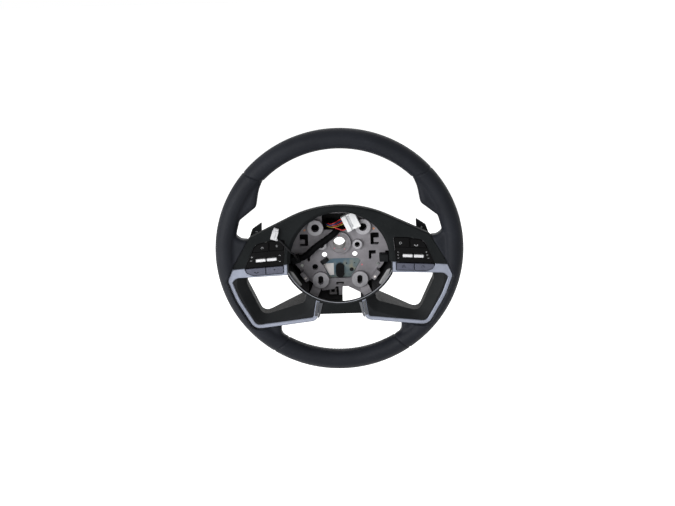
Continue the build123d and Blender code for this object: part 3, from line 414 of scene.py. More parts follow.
def speck_group():
    """A mask of dust specks and faint smears."""
    tree, given, out = shader_group(
        "Dust specks",
        [("Vector", "Vector", None), ("Scale", "Float", 300.0), ("Amount", "Float", 0.2)],
        [("Mask", "Float")],
    )
    specks = noise(tree, given["Vector"], given["Scale"], 6.0, 0.75)
    clouds = noise(tree, given["Vector"], maths(tree, "MULTIPLY", given["Scale"], 0.06))
    both = maths(tree, "MULTIPLY", spread(tree, specks, 0.55, 0.75), spread(tree, clouds, 0.4, 0.7))
    tree.links.new(maths(tree, "MULTIPLY", both, given["Amount"]), out["Mask"])


def placed(tree, group, vector, **values):
    """A shader group in a material, with its own values."""
    made = tree.nodes.new("ShaderNodeGroup")
    made.node_tree = bpy.data.node_groups[group]
    tree.links.new(vector, made.inputs["Vector"])
    for label, value in values.items():
        feed(tree, (*value, 1.0) if isinstance(value, tuple) else value, made.inputs[label])
    return made


def finish(
    name,
    colour,
    tint,
    rough,
    swing=0.06,
    drift=25.0,
    cells=900.0,
    fine=2500.0,
    balance=0.5,
    relief=0.0,
    dust=0.0,
    dust_colour=(0.32, 0.31, 0.29),
    **sockets,
):
    """A finish with drifting colour and gloss, a grain and some dust; sockets are set as they are."""
    plain = bpy.data.materials.get(name)
    if plain:
        plain.name = f"{name}_plain"
    material = bpy.data.materials.new(name)
    material.use_nodes = True
    tree = material.node_tree
    surface = tree.nodes["Principled BSDF"]
    place = tree.nodes.new("ShaderNodeTexCoord").outputs["Object"]
    base = placed(
        tree, "Surface drift", place, Scale=drift, Colour=colour, Tint=tint, Roughness=rough, Spread=swing
    )
    paint = base.outputs["Colour"]
    if dust:
        specks = placed(tree, "Dust specks", place, Amount=dust)
        paint = mixed(tree, specks.outputs["Mask"], paint, dust_colour)
    tree.links.new(paint, surface.inputs["Base Color"])
    tree.links.new(base.outputs["Roughness"], surface.inputs["Roughness"])
    if relief:
        grain = placed(tree, "Pebble grain", place, Cells=cells, Fine=fine, Balance=balance)
        height = grain.outputs["Height"]
        bump = add_node(tree, "ShaderNodeBump", Strength=relief, Distance=GRAIN_HEIGHT, Height=height)
        tree.links.new(bump.outputs["Normal"], surface.inputs["Normal"])
    for label, value in sockets.items():
        surface.inputs[label.replace("_", " ")].default_value = value
    return material


def scaled(colour, share):
    """A colour made darker or lighter."""
    return tuple(min(1.0, c * share) for c in colour)


def zinc_finish():
    """Passivated sheet: blue and teal clouds with straw-coloured edges between them."""
    teal, pale = (0.072, 0.105, 0.115), (0.134, 0.160, 0.156)
    straw, blue = (0.166, 0.164, 0.128), (0.059, 0.095, 0.123)
    material = finish("blue_zinc", teal, pale, 0.34, drift=38.0, fine=900.0, relief=0.05, Metallic=0.75)
    tree = material.node_tree
    surface = tree.nodes["Principled BSDF"]
    place = tree.nodes["Texture Coordinate"].outputs["Object"]
    paint = surface.inputs["Base Color"].links[0].from_socket
    paint = mixed(tree, spread(tree, noise(tree, place, 62.0, 3.0), 0.50, 0.62), paint, straw)
    paint = mixed(tree, spread(tree, noise(tree, place, 45.0, 2.0), 0.52, 0.66), paint, blue)
    tree.links.new(paint, surface.inputs["Base Color"])


# Settings that several finishes share
BRUSHED = {"fine": 5200.0, "balance": 0.95, "relief": 0.10, "Metallic": 0.6}
INSULATION = {"fine": 1800.0, "relief": 0.05}
# Colour and tint of what is made in several colours
WIRE_COLOURS = {
    "red": ((0.50, 0.015, 0.020), (0.58, 0.036, 0.036)),
    "blue": ((0.025, 0.044, 0.15), (0.037, 0.062, 0.19)),
    "yellow": ((0.28, 0.195, 0.022), (0.35, 0.25, 0.040)),
}
MARK_COLOURS = {
    "pale": ((0.84, 0.76, 0.72), (0.88, 0.83, 0.80)),
    "orange": ((0.59, 0.20, 0.077), (0.66, 0.31, 0.154)),
    "red": ((0.54, 0.077, 0.10), (0.60, 0.18, 0.19)),
}


def black_finishes(leather, cover):
    """The leather, the black mouldings, rubbers and tapes."""
    finish(
        "leather", scaled(leather, 0.85), scaled(leather, 1.2), 0.47, swing=0.08, drift=18.0, cells=780.0,
        fine=2600.0, balance=0.35, relief=0.38, dust=0.04, Specular_IOR_Level=0.1,
    )
    finish(
        "thread", (0.0080, 0.0087, 0.0105), (0.0166, 0.0180, 0.0205), 0.7, drift=400.0, fine=5200.0,
        balance=0.9, relief=0.5,
    )
    finish("foam", (0.03, 0.03, 0.03), (0.05, 0.05, 0.048), 0.9, cells=500.0, relief=0.5)
    finish(
        "soft_black", scaled(cover, 0.9), scaled(cover, 1.25), 0.58, cells=2100.0, fine=3600.0, relief=0.16,
        dust=0.05, Specular_IOR_Level=0.03,
    )
    finish(
        "grained_black", (0.0053, 0.0053, 0.0060), (0.0086, 0.0086, 0.0092), 0.62, cells=620.0, fine=1500.0,
        relief=0.55, Specular_IOR_Level=0.14,
    )
    finish(
        "black_plastic", (0.0122, 0.0132, 0.0142), (0.0170, 0.0180, 0.0190), 0.42, fine=1800.0, relief=0.10,
        dust=0.04, Specular_IOR_Level=0.04,
    )
    finish(
        "gloss_black", (0.0015, 0.0015, 0.0018), (0.0027, 0.0027, 0.0030), 0.18, swing=0.05, drift=60.0,
        dust=0.02, Specular_IOR_Level=0.06,
    )
    finish(
        "black_rubber", (0.0036, 0.0036, 0.0042), (0.0066, 0.0066, 0.0072), 0.72, fine=1300.0, relief=0.18,
        dust=0.06, Specular_IOR_Level=0.12,
    )
    finish(
        "black_tape", (0.0016, 0.0016, 0.0018), (0.004, 0.004, 0.0045), 0.66, drift=120.0, cells=1600.0,
        fine=3000.0, relief=0.4, Specular_IOR_Level=0.05,
    )
    finish(
        "black_insulation", (0.004, 0.004, 0.005), (0.008, 0.008, 0.009), 0.38, drift=90.0, **INSULATION,
        Specular_IOR_Level=0.15,
    )
    finish(
        "icon_dark", (0.004, 0.004, 0.005), (0.008, 0.008, 0.009), 0.6, drift=200.0, Specular_IOR_Level=0.05
    )


def metal_finishes(silver, casting):
    """The silver trims, the casting and the other metals."""
    finish(
        "satin_silver", scaled(silver, 0.94), scaled(silver, 1.06), 0.36, drift=120.0, dust=0.06, **BRUSHED,
        Coat_Weight=0.15, Coat_Roughness=0.2,
    )
    finish("silver_key", (0.060, 0.064, 0.090), (0.077, 0.082, 0.110), 0.40, drift=140.0, **BRUSHED)
    # A dark copy of the silver for the facets on the trims' legs: painted shade, standing in for the dark
    # reflection on the legs
    finish("leg_silver", (0.052, 0.054, 0.060), (0.069, 0.071, 0.078), 0.36, drift=120.0, **BRUSHED)
    finish("ring_silver", (0.165, 0.172, 0.192), (0.23, 0.237, 0.26), 0.34, drift=60.0, Metallic=0.5)
    finish(
        "bright_silver", (0.55, 0.555, 0.57), (0.63, 0.63, 0.64), 0.24, drift=90.0, dust=0.05, Metallic=0.55
    )
    finish(
        "cast_magnesium", scaled(casting, 0.80), scaled(casting, 1.16), 0.56, swing=0.12, drift=55.0,
        cells=1100.0, fine=1700.0, balance=0.7, relief=0.30, dust=0.25, dust_colour=(0.145, 0.128, 0.131),
        Metallic=0.2,
    )
    finish(
        "machined", (0.32, 0.315, 0.335), (0.385, 0.38, 0.40), 0.45, swing=0.12, drift=120.0, fine=2600.0,
        relief=0.10, dust=0.10, Metallic=0.2,
    )
    finish(
        "steel", (0.122, 0.116, 0.122), (0.18, 0.173, 0.18), 0.44, swing=0.15, drift=140.0, fine=2400.0,
        relief=0.12, Metallic=0.6,
    )
    finish(
        "bore_steel", (0.030, 0.025, 0.017), (0.060, 0.050, 0.034), 0.5, swing=0.15, drift=140.0, Metallic=0.6
    )
    finish(
        "pale_zinc", (0.435, 0.475, 0.485), (0.59, 0.59, 0.55), 0.32, drift=160.0, fine=2600.0, relief=0.08,
        Metallic=0.85,
    )
    zinc_finish()


def pale_finishes():
    """The white plastics, the label, the prints, the coloured wires and the paint marks."""
    finish("circuit_board", (0.02, 0.10, 0.05), (0.03, 0.14, 0.07), 0.4, drift=200.0)
    finish(
        "white_plastic", (0.83, 0.84, 0.86), (0.88, 0.88, 0.88), 0.36, drift=60.0, fine=1600.0, relief=0.04,
        dust=0.05,
    )
    finish(
        "milky_plastic", (0.40, 0.40, 0.415), (0.56, 0.56, 0.57), 0.4, drift=160.0, fine=1600.0, relief=0.04
    )
    finish(
        "pad_grey", (0.18, 0.182, 0.186), (0.256, 0.259, 0.262), 0.6, drift=60.0, cells=500.0, fine=1600.0,
        relief=0.3,
    )
    finish("grey_plastic", (0.50, 0.51, 0.53), (0.56, 0.57, 0.59), 0.5, drift=60.0, fine=1600.0, relief=0.06)
    finish(
        "label_paper", (0.64, 0.625, 0.615), (0.73, 0.70, 0.69), 0.6, drift=70.0, fine=900.0, relief=0.08,
        dust=0.12,
    )
    finish("icon_print", (0.26, 0.27, 0.28), (0.34, 0.34, 0.35), 0.5, drift=200.0)
    for name, (colour, tint) in WIRE_COLOURS.items():
        finish(f"{name}_insulation", colour, tint, 0.36, drift=120.0, **INSULATION)
    for name, (colour, tint) in MARK_COLOURS.items():
        finish(f"{name}_paint", colour, tint, 0.5, drift=500.0)


def make_finishes(colours):
    """Every finish of the wheel, by name."""
    drift_group()
    grain_group()
    speck_group()
    black_finishes(tuple(colours.leather), tuple(colours.cover))
    metal_finishes(tuple(colours.silver), tuple(colours.casting))
    pale_finishes()


# Geometry node trees


def geometry_tree(name, **inputs):
    """A geometry tree with named inputs and a material, what it is given and what it puts out."""
    tree = bpy.data.node_groups.new(name, "GeometryNodeTree")
    for label, kind in {"Geometry": "Geometry", **inputs, "Material": "Material"}.items():
        tree.interface.new_socket(label, in_out="INPUT", socket_type="NodeSocket" + kind)
    tree.interface.new_socket("Geometry", in_out="OUTPUT", socket_type="NodeSocketGeometry")
    return tree, tree.nodes.new("NodeGroupInput").outputs, tree.nodes.new("NodeGroupOutput").inputs


def end_tree(tree, given, out, geometry):
    """Ends a tree with plain faces and the material that it is given."""
    real = add_node(tree, "GeometryNodeRealizeInstances", Geometry=geometry).outputs["Geometry"]
    painted = add_node(tree, "GeometryNodeSetMaterial", Geometry=real, Material=given["Material"])
    tree.links.new(painted.outputs["Geometry"], out["Geometry"])
    return tree


def grown(name, source, tree, material, slot, stands_for=(), sharp=35.0, **values):
    """A piece whose plain mesh a tree makes from a curve or a mesh of points."""
    host = linked(name + "_host", source)
    modifier = host.modifiers.new(tree.name, "NODES")
    modifier.node_group = tree
    values["Material"] = bpy.data.materials[material]
    for socket in tree.interface.items_tree:
        if socket.in_out == "INPUT" and socket.name in values:
            modifier[socket.identifier] = values[socket.name]
    mesh = worked_out(host, preserve_all_data_layers=True)
    mesh.name = name
    return piece(name, mesh, material, stands_for=stands_for, sharp=sharp)


def joined(tree, *parts):
    """Several geometries as one."""
    made = tree.nodes.new("GeometryNodeJoinGeometry")
    for part in parts:
        tree.links.new(part, made.inputs["Geometry"])
    return made.outputs["Geometry"]


def moved_by(tree, geometry, *offset, **settings):
    """A geometry moved by an offset."""
    shift = vector_of(tree, *offset)
    made = add_node(tree, "GeometryNodeTransform", Geometry=geometry, Translation=shift, **settings)
    return made.outputs["Geometry"]


def captured(tree, geometry, label, value):
    """A node that keeps a value on a geometry's points, and puts out both."""
    made = tree.nodes.new("GeometryNodeCaptureAttribute")
    made.capture_items.new("FLOAT", label)
    tree.links.new(geometry, made.inputs["Geometry"])
    tree.links.new(value, made.inputs[label])
    return made.outputs


def on_points(tree, points, instance, **inputs):
    """Copies of a geometry on points."""
    made = add_node(tree, "GeometryNodeInstanceOnPoints", Points=points, Instance=instance, **inputs)
    return made.outputs["Instances"]


def stitch_tree():
    """Stitches in a row along a curve."""
    tree, given, out = geometry_tree("Stitch row", Pitch="Float", Length="Float", Thread="Float")
    length = {"mode": "LENGTH"}
    spots = add_node(
        tree, "GeometryNodeCurveToPoints", length, Curve=given["Geometry"], Length=given["Pitch"]
    ).outputs
    bead = add_node(tree, "GeometryNodeMeshUVSphere", Segments=6, Rings=5, Radius=1.0).outputs["Mesh"]
    half = maths(tree, "MULTIPLY", given["Length"], 0.5)
    size = vector_of(tree, given["Thread"], given["Thread"], half)
    row = on_points(tree, spots["Points"], bead, Rotation=spots["Rotation"], Scale=size)
    return end_tree(tree, given, out, row)


def wrap_tree():
    """A tube along a curve, wound with tape whose turns overlap in small steps."""
    tree, given, out = geometry_tree("Tape wrap", Radius="Float", Pitch="Float", Step="Float", Rings="Int")
    rings = add_node(tree, "GeometryNodeResampleCurve", Curve=given["Geometry"], Count=given["Rings"])
    reach = add_node(tree, "GeometryNodeSplineParameter").outputs["Length"]
    along = captured(tree, rings.outputs["Curve"], "Along", reach)
    section = add_node(tree, "GeometryNodeCurvePrimitiveCircle", Resolution=20, Radius=given["Radius"])
    turn = add_node(tree, "GeometryNodeSplineParameter").outputs["Factor"]
    around = captured(tree, section.outputs["Curve"], "Around", turn)
    tube = add_node(
        tree,
        "GeometryNodeCurveToMesh",
        Curve=along["Geometry"],
        Profile_Curve=around["Geometry"],
        Fill_Caps=True,
    )
    turns = maths(tree, "DIVIDE", along["Along"], given["Pitch"])
    saw = maths(tree, "FRACT", maths(tree, "ADD", turns, around["Around"]), 0.0)
    lift = maths(tree, "MULTIPLY", saw, given["Step"])
    normal = add_node(tree, "GeometryNodeInputNormal").outputs["Normal"]
    push = add_node(tree, "ShaderNodeVectorMath", {"operation": "SCALE"}, Vector=normal, Scale=lift)
    step = push.outputs["Vector"]
    wound = add_node(tree, "GeometryNodeSetPosition", Geometry=tube.outputs["Mesh"], Offset=step)
    return end_tree(tree, given, out, wound.outputs["Geometry"])


def screw_tree():
    """Pan-head screws with a cross recess, standing on points."""
    tree, given, out = geometry_tree(
        "Cross-head screws", Head="Float", Rise="Float", Shank="Float", Turn="Float"
    )

    def share(label, part):
        return maths(tree, "MULTIPLY", given[label], part)

    head = add_node(
        tree,
        "GeometryNodeMeshCone",
        Vertices=32,
        Radius_Top=share("Head", 0.82),
        Radius_Bottom=given["Head"],
        Depth=given["Rise"],
    )
    long, thin = share("Head", 1.15), share("Head", 0.24)
    arms = []
    for width, length in ((long, thin), (thin, long)):
        arm = add_node(tree, "GeometryNodeMeshCube", Size=vector_of(tree, width, length, given["Rise"]))
        arms.append(arm.outputs["Mesh"])
    cross = moved_by(tree, joined(tree, *arms), 0.0, 0.0, given["Rise"])
    difference = {"operation": "DIFFERENCE"}
    cut = add_node(tree, "GeometryNodeMeshBoolean", difference, Mesh_1=head.outputs["Mesh"], Mesh_2=cross)
    shank = add_node(
        tree, "GeometryNodeMeshCylinder", Vertices=20, Radius=share("Head", 0.45), Depth=given["Shank"]
    )
    dropped = moved_by(tree, shank.outputs["Mesh"], 0.0, 0.0, share("Shank", -0.499))
    whole = joined(tree, cut.outputs["Mesh"], dropped)
    turned = vector_of(tree, given["Turn"], 0.0, 0.0)
    return end_tree(tree, given, out, on_points(tree, given["Geometry"], whole, Rotation=turned))


def spline_tree():
    """Teeth around the inside of a bore."""
    tree, given, out = geometry_tree("Bore splines", Teeth="Int", Bore="Float", Length="Float", Tooth="Float")
    ring = add_node(tree, "GeometryNodeMeshCircle", Vertices=given["Teeth"], Radius=given["Bore"])
    size = vector_of(tree, given["Tooth"], given["Tooth"], given["Length"])
    tooth = add_node(tree, "GeometryNodeMeshCube", Size=size).outputs["Mesh"]
    where = add_node(tree, "GeometryNodeInputPosition").outputs["Position"]
    axes = {"axis": "X", "pivot_axis": "Z"}
    outward = add_node(tree, "FunctionNodeAlignRotationToVector", axes, Vector=where).outputs["Rotation"]
    teeth = on_points(tree, ring.outputs["Mesh"], tooth, Rotation=outward)
    half = maths(tree, "MULTIPLY", given["Length"], 0.5)
    stood = moved_by(tree, teeth, 0.0, half, 0.0, Rotation=(math.pi / 2, 0.0, 0.0))
    return end_tree(tree, given, out, stood)


# Rim

SMOOTHING_ROUNDS = 40
# Shares of the way to the middle of a point's neighbours: one step in, one step back out
SMOOTHING_SHARES = (0.5, -0.52)
# Cuts beside a seam and how far from it the leather is worked on, in groove widths
SEAM_CUTS = (0.0, -0.45, 0.45, -1.0, 1.0, -1.7, 1.7, -2.8, 2.8)
SEAM_REACH = 8
SEAM_TOLERANCE = 1e-7
# Turn of the closing seam around the grip's section, and how far the stitches end from a cross seam
CLOSING_TURN = math.radians(218)
STITCH_MARGIN = math.radians(3.0)
STITCH_PATH_STEPS = 120


def smoothed(points, edges):
    """Points evened out along their edges without shrinking the form."""
    a, b = edges[:, 0], edges[:, 1]
    size = len(points)
    count = np.maximum(np.bincount(a, minlength=size) + np.bincount(b, minlength=size), 1)
    for share in SMOOTHING_SHARES * SMOOTHING_ROUNDS:
        total = np.zeros_like(points)
        for axis in range(3):
            values = points[:, axis]
            total[:, axis] = np.bincount(a, values[b], size) + np.bincount(b, values[a], size)
        points = points + share * (total / count[:, None] - points)
    return points


def grip_mesh(sizes):
    """The whole padded grip as one smooth mesh: foam and leather together."""
    bm = bmesh.new()
    for name in (*LEATHER_NODES, "rim_foam"):
        bm.from_mesh(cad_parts[name].data)
    host = linked("grip_host", mesh_of("grip_source", bm))
    remesh = host.modifiers.new("Even skin", "REMESH")
    remesh.mode = "VOXEL"
    remesh.voxel_size = sizes.skin_cell
    skin = worked_out(host)
    points = np.zeros(len(skin.vertices) * 3)
    skin.vertices.foreach_get("co", points)
    edges = np.zeros(len(skin.edges) * 2, np.int32)
    skin.edges.foreach_get("vertices", edges)
    points = smoothed(points.reshape(-1, 3), edges.reshape(-1, 2))
    skin.vertices.foreach_set("co", points.ravel())
    skin.update()
    return skin


def seam_turn(angle, slant, radius, sizes):
    """The angle of a slanted seam around the wheel at a distance from the middle."""
    middle = sizes.rim_radius - sizes.grip_width / 2
    return angle + math.tan(slant) * (radius - middle) / middle


def tuck_seam(bm, angle, slant, sizes):
    """Cuts fine loops beside a slanted seam and draws the leather in along it."""
    out = Vector((math.cos(angle), 0, math.sin(angle)))
    middle = out * (sizes.rim_radius - sizes.grip_width / 2)
    along = Vector((-math.sin(angle + slant), 0, math.cos(angle + slant)))
    start = middle @ along
    reach = SEAM_REACH * sizes.groove_width
    for step in SEAM_CUTS:
        near = []
        for f in bm.faces:
            centre = f.calc_center_median()
            if abs(centre @ along - start) < reach and centre @ out > 0:
                near.append(f)
        parts = list({*near, *(e for f in near for e in f.edges), *(v for f in near for v in f.verts)})
        cut = middle + along * step * sizes.groove_width
        bmesh.ops.bisect_plane(bm, geom=parts, plane_co=cut, plane_no=along, dist=SEAM_TOLERANCE)
    bm.normal_update()
    for v in bm.verts:
        t = v.co @ along - start
        if abs(t) < reach and v.co @ out > 0:
            v.co -= v.normal * sizes.groove_depth * math.exp(-((t / sizes.groove_width) ** 2))


class WHEEL_OT_leather(bpy.types.Operator):
    """Wraps the grip in four leather panels with tucked seams"""

    bl_idname = "wheel.leather"
    bl_label = "Leather"

    def execute(self, context):
        sizes = context.scene.wheel_sizes
        up, low, slant = sizes.upper_seam, sizes.lower_seam, sizes.seam_slant
        bm = bmesh.new()
        bm.from_mesh(grip_mesh(sizes))
        for angle, lean in ((up, -slant), (math.pi - up, slant), (math.pi + low, -slant), (-low, slant)):
            tuck_seam(bm, angle, lean, sizes)
        skin = mesh_of("grip_skin", bm)
        spans = {
            "leather_upper": (up, math.pi - up, -slant),
            "leather_left": (math.pi - up, math.pi + low, slant),
            "leather_lower": (math.pi + low, 2 * math.pi - low, -slant),
            "leather_right": (2 * math.pi - low, 2 * math.pi + up, slant),
        }
        for node, (first, last, lean) in spans.items():
            panel = bmesh.new()
            panel.from_mesh(skin)
            other = []
            for f in panel.faces:
                centre = f.calc_center_median()
                radius = math.hypot(centre.x, centre.z)
                start = seam_turn(first, lean, radius, sizes)
                end = seam_turn(last, -lean, radius, sizes)
                if (math.atan2(centre.z, centre.x) - start) % (2 * math.pi) > end - start:
                    other.append(f)
            bmesh.ops.delete(panel, geom=other, context="FACES")
            bmesh.ops.holes_fill(panel, edges=[e for e in panel.edges if e.is_boundary], sides=0)
            tidy_normals(panel)
            obj = piece(node + "_wrap", panel, "leather", stands_for=[node], sharp=60.0)
        return {"FINISHED"}


class WHEEL_OT_stitches(bpy.types.Operator):
    """Sews two rows of stitches along the closing seam behind the inner edge of the rim"""

    bl_idname = "wheel.stitches"
    bl_label = "Stitches"

    def execute(self, context):
        sizes = context.scene.wheel_sizes
        tree = stitch_tree()
        middle = sizes.rim_radius - sizes.grip_width / 2
        up, low = sizes.upper_seam + STITCH_MARGIN, sizes.lower_seam + STITCH_MARGIN
        arcs = {"upper": (up, math.pi - up), "lower": (math.pi + low, 2 * math.pi - low)}
        for label, (first, last) in arcs.items():
            data = bpy.data.curves.new("stitch_path", "CURVE")
            data.dimensions = "3D"
            for row in (-1, 1):
                turn = CLOSING_TURN + row * sizes.stitch_row / (sizes.grip_width / 2)
                radius = middle + sizes.grip_width / 2 * math.cos(turn)
                y = -(sizes.rim_height + sizes.grip_depth / 2 * math.sin(turn))
                spline = data.splines.new("POLY")
                spline.points.add(STITCH_PATH_STEPS)
                for i, point in enumerate(spline.points):
                    a = first + (last - first) * i / STITCH_PATH_STEPS
                    point.co = (radius * math.cos(a), y, radius * math.sin(a), 1.0)
            grown(
                f"stitches_{label}",
                data,
                tree,
                "thread",
                "leather",
                Pitch=sizes.stitch_pitch,
                Length=sizes.stitch_length,
                Thread=sizes.thread_radius,
            )
        return {"FINISHED"}


# Mouldings, trims and switches

PLAIN_FINISHES = {
    "rim_foam": "foam",
    "front_cover": "soft_black",
    "bridge_cover": "soft_black",
    "rear_cover": "grained_black",
    "hub_ring": "black_plastic",
    "armature": "cast_magnesium",
    "column_boss": "steel",
    "control_module": "blue_zinc",
    "module_grommet": "black_rubber",
}
SIDE_FINISHES = {
    "trim": "satin_silver",
    "spoke_frame": "black_plastic",
    "switch_housing": "gloss_black",
    "switch_board": "circuit_board",
    "paddle": "black_plastic",
    "paddle_pin": "steel",
    "paddle_bracket": "black_plastic",
    "upper_outer_key": "gloss_black",
    "upper_inner_key": "gloss_black",
    "lower_outer_key": "silver_key",
    "lower_inner_key": "silver_key",
    "outer_toggle": "bright_silver",
    "inner_toggle": "bright_silver",
}


def paint(node, material):
    """Gives a CAD node its finish."""
    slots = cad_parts[node].data.materials
    slots.clear()
    slots.append(bpy.data.materials[material])


class WHEEL_OT_paint(bpy.types.Operator):
    """Gives every moulding, casting, trim, key and paddle its finish"""

    bl_idname = "wheel.paint"
    bl_label = "Finishes"

    def execute(self, context):
        for node, material in PLAIN_FINISHES.items():
            paint(node, material)
        for side, _ in SIDES:
            for node, material in SIDE_FINISHES.items():
                paint(f"{side}_{node}", material)
        return {"FINISHED"}


def bar_shape(x0, y0, x1, y1):
    """A rectangle of an icon."""
    return [(x0, y0), (x1, y0), (x1, y1), (x0, y1)]


def arc_shape(radius, width, first, last, count=10):
    """A bent stroke of an icon, between two angles in degrees."""
    turns = [math.radians(first + (last - first) * i / count) for i in range(count + 1)]
    outer = [((radius + width / 2) * math.cos(t), (radius + width / 2) * math.sin(t)) for t in turns]
    inner = [((radius - width / 2) * math.cos(t), (radius - width / 2) * math.sin(t)) for t in turns]
    return outer + inner[::-1]


ICONS = {
    "plus": [
        bar_shape(-1, -0.18, 1, 0.18),
        bar_shape(-0.18, 0.2, 0.18, 1),
        bar_shape(-0.18, -1, 0.18, -0.2),
    ],
    "minus": [bar_shape(-1, -0.18, 1, 0.18)],
    "up": [[(-0.9, -0.5), (0, 0.15), (0.9, -0.5), (0.9, -0.1), (0, 0.6), (-0.9, -0.1)]],
    "down": [[(-0.9, 0.5), (-0.9, 0.1), (0, -0.6), (0.9, 0.1), (0.9, 0.5), (0, -0.15)]],
    "handset": [
        arc_shape(1.3, 0.3, 230, 310),
        [(-1.15, -1.05), (-0.55, -0.85), (-0.62, -0.35), (-1.2, -0.55)],
        [(0.55, -0.85), (1.15, -1.05), (1.2, -0.55), (0.62, -0.35)],
    ],
    "spark": [
        [(0, 1), (0.22, 0.22), (1, 0), (0.22, -0.22), (0, -1), (-0.22, -0.22), (-1, 0), (-0.22, 0.22)]
    ],
    "wave": [arc_shape(0.45, 0.2, 60, 300), arc_shape(0.95, 0.18, 100, 260)],
    "lane": [
        [(-1, -0.9), (-0.7, -0.9), (-0.25, 0.9), (-0.45, 0.9)],
        [(1, -0.9), (0.45, 0.9), (0.25, 0.9), (0.7, -0.9)],
        bar_shape(-0.1, -0.6, 0.1, 0.5),
    ],
    "dial": [arc_shape(0.85, 0.2, -50, 230, 18), [(-0.1, -0.1), (0.1, -0.1), (0.55, 0.5), (0.4, 0.6)]],
    "ring": [arc_shape(0.8, 0.22, 5, 355, 24)],
}

# Icons on the switches: side, key or panel, height of its front, place, size and picture
GLOSS, SILVER, PANEL = 59.8, 60.4, 59.4
SWITCH_ICONS = [
    ("left", "upper_outer_key", GLOSS, -114.6, 10.6, 2.0, "dial"),
    ("left", "upper_inner_key", GLOSS, -92.0, 13.4, 2.0, "wave"),
    ("left", None, PANEL, -130.4, -3.0, 1.5, "plus"),
    ("left", None, PANEL, -131.8, -8.6, 1.5, "minus"),
    ("left", None, PANEL, -89.2, -1.2, 1.6, "up"),
    ("left", None, PANEL, -89.2, -10.2, 1.6, "down"),
    ("left", "lower_outer_key", SILVER, -124.6, -24.2, 2.6, "handset"),
    ("left", "lower_inner_key", SILVER, -97.6, -22.8, 2.0, "spark"),
    ("right", "upper_inner_key", GLOSS, 90.4, 12.8, 2.0, "ring"),
    ("right", "upper_outer_key", GLOSS, 113.6, 10.8, 2.4, "handset"),
    ("right", None, PANEL, 86.6, -1.4, 1.3, "up"),
    ("right", None, PANEL, 86.8, -5.8, 1.1, "ring"),
    ("right", None, PANEL, 87.0, -10.4, 1.3, "down"),
    ("right", None, PANEL, 128.6, -2.4, 1.3, "plus"),
    ("right", None, PANEL, 130.0, -7.0, 1.3, "ring"),
    ("right", None, PANEL, 131.6, -11.8, 1.3, "minus"),
    ("right", "lower_inner_key", SILVER, 95.0, -23.0, 2.6, "lane"),
    ("right", "lower_outer_key", SILVER, 123.6, -24.8, 2.4, "dial"),
]
PADDLE_ICON = (124.5, 27.0, 23.0)
PADDLE_ICON_SIZE = 2.0
# Back and front of a print over its surface
PRINT_HEIGHTS = (-0.05, 0.06)


def icon_plates(picture, size, place):
    """The thin plates that print an icon."""
    for outline in ICONS[picture]:
        yield [(size * x, size * y) for x, y in outline], place, *PRINT_HEIGHTS


class WHEEL_OT_icons(bpy.types.Operator):
    """Prints plain icons on the switches and on the paddles"""

    bl_idname = "wheel.icons"
    bl_label = "Icons"

    def execute(self, context):
        prints = {}
        for side, key, front, x, z, size, picture in SWITCH_ICONS:
            body = f"{side}_{key}" if key else WHEEL
            ink = "icon_dark" if front == SILVER else "icon_print"
            rows, _, _ = prints.setdefault(f"icons_{side}_{key or 'panel'}", ([], ink, body))
            rows += icon_plates(picture, size, lying(x, z, front))
        for side, sign in SIDES:
            x, z, front = PADDLE_ICON
            picture = "plus" if sign > 0 else "minus"
            rows = list(icon_plates(picture, PADDLE_ICON_SIZE, lying(sign * x, z, front)))
            prints[f"icons_{side}_paddle"] = (rows, "icon_print", f"{side}_paddle")
        for name, (rows, ink, body) in prints.items():
            piece(name, plates(rows), ink, body=body)
        return {"FINISHED"}


# Hub

FRONT = lying(0, 0, 0)
BORE_RADIUS, BORE_LENGTH, SPLINE_TOOTH = 9.5, 25.4, 0.8
RING_CENTRE = 8.4
RING_HALF_WIDTH = 77.6
RING_STEPS = 120
# Strips along the inner edge of the hub ring: finish, inner and outer radius, back and front
RING_STRIPS = {
    "hub_ring_lip": ("black_plastic", 85.5, 88.4, 56.8, 58.8),
    "hub_ring_line": ("ring_silver", 85.2, 86.1, 58.6, 59.4),
}
MODULE_FACE = lying(0, 0, -10.0)
LABEL_OUTLINE = [(-26.4, -34.6), (-9.6, -34.6), (-9.6, -53.6), (-16.2, -54.0), (-26.0, -37.2)]
# Eyelets of the module: place and radius
EYELETS = ((18.0, -45.6, 3.2), (10.4, -35.4, 1.2), (22.6, -35.0, 1.0))
# Steps of the grommet's stud: radius, bottom and top over the module
STUD_HEIGHT = -46.0
STUD_STEPS = ((5.0, 4.9, 5.9), (2.2, 5.8, 6.5))
PAD_OUTLINE = [(76.4, -29.0), (70.6, -31.0), (57.6, -51.6), (63.2, -55.0), (72.0, -42.6)]
PAD_BACK, PAD_FRONT = 45.0, 49.0
CLIP_PLACE = lying(-23.5, -29.0, -4.0, 35.0)
CLIP_BLOCKS = (
    ((-6.5, -3.4, -0.4), (6.5, 3.4, 2.4)),
    ((-3.0, -3.0, 2.2), (4.6, 3.0, 5.4)),
    ((-6.0, -1.2, 2.2), (-4.4, 1.2, 4.0)),
)
# Paint marks: place, height and radius
PAINT_MARKS = {
    "orange_paint": [(-53, 20.4, -4, 1.9), (53, 20.4, -4, 1.9)],
    "pale_paint": [(-53.3, -51.9, 12, 2.0), (53.3, -51.9, 12, 2.0)],
    "red_paint": [(-0.6, 12.4, 0, 1.1), (7.4, -9.6, 0, 1.0), (-7.8, -8.4, 0, 0.9), (34, -36.6, -4, 1.4)],
}
MARK_TURN, MARK_FLATNESS = 25.0, 0.8


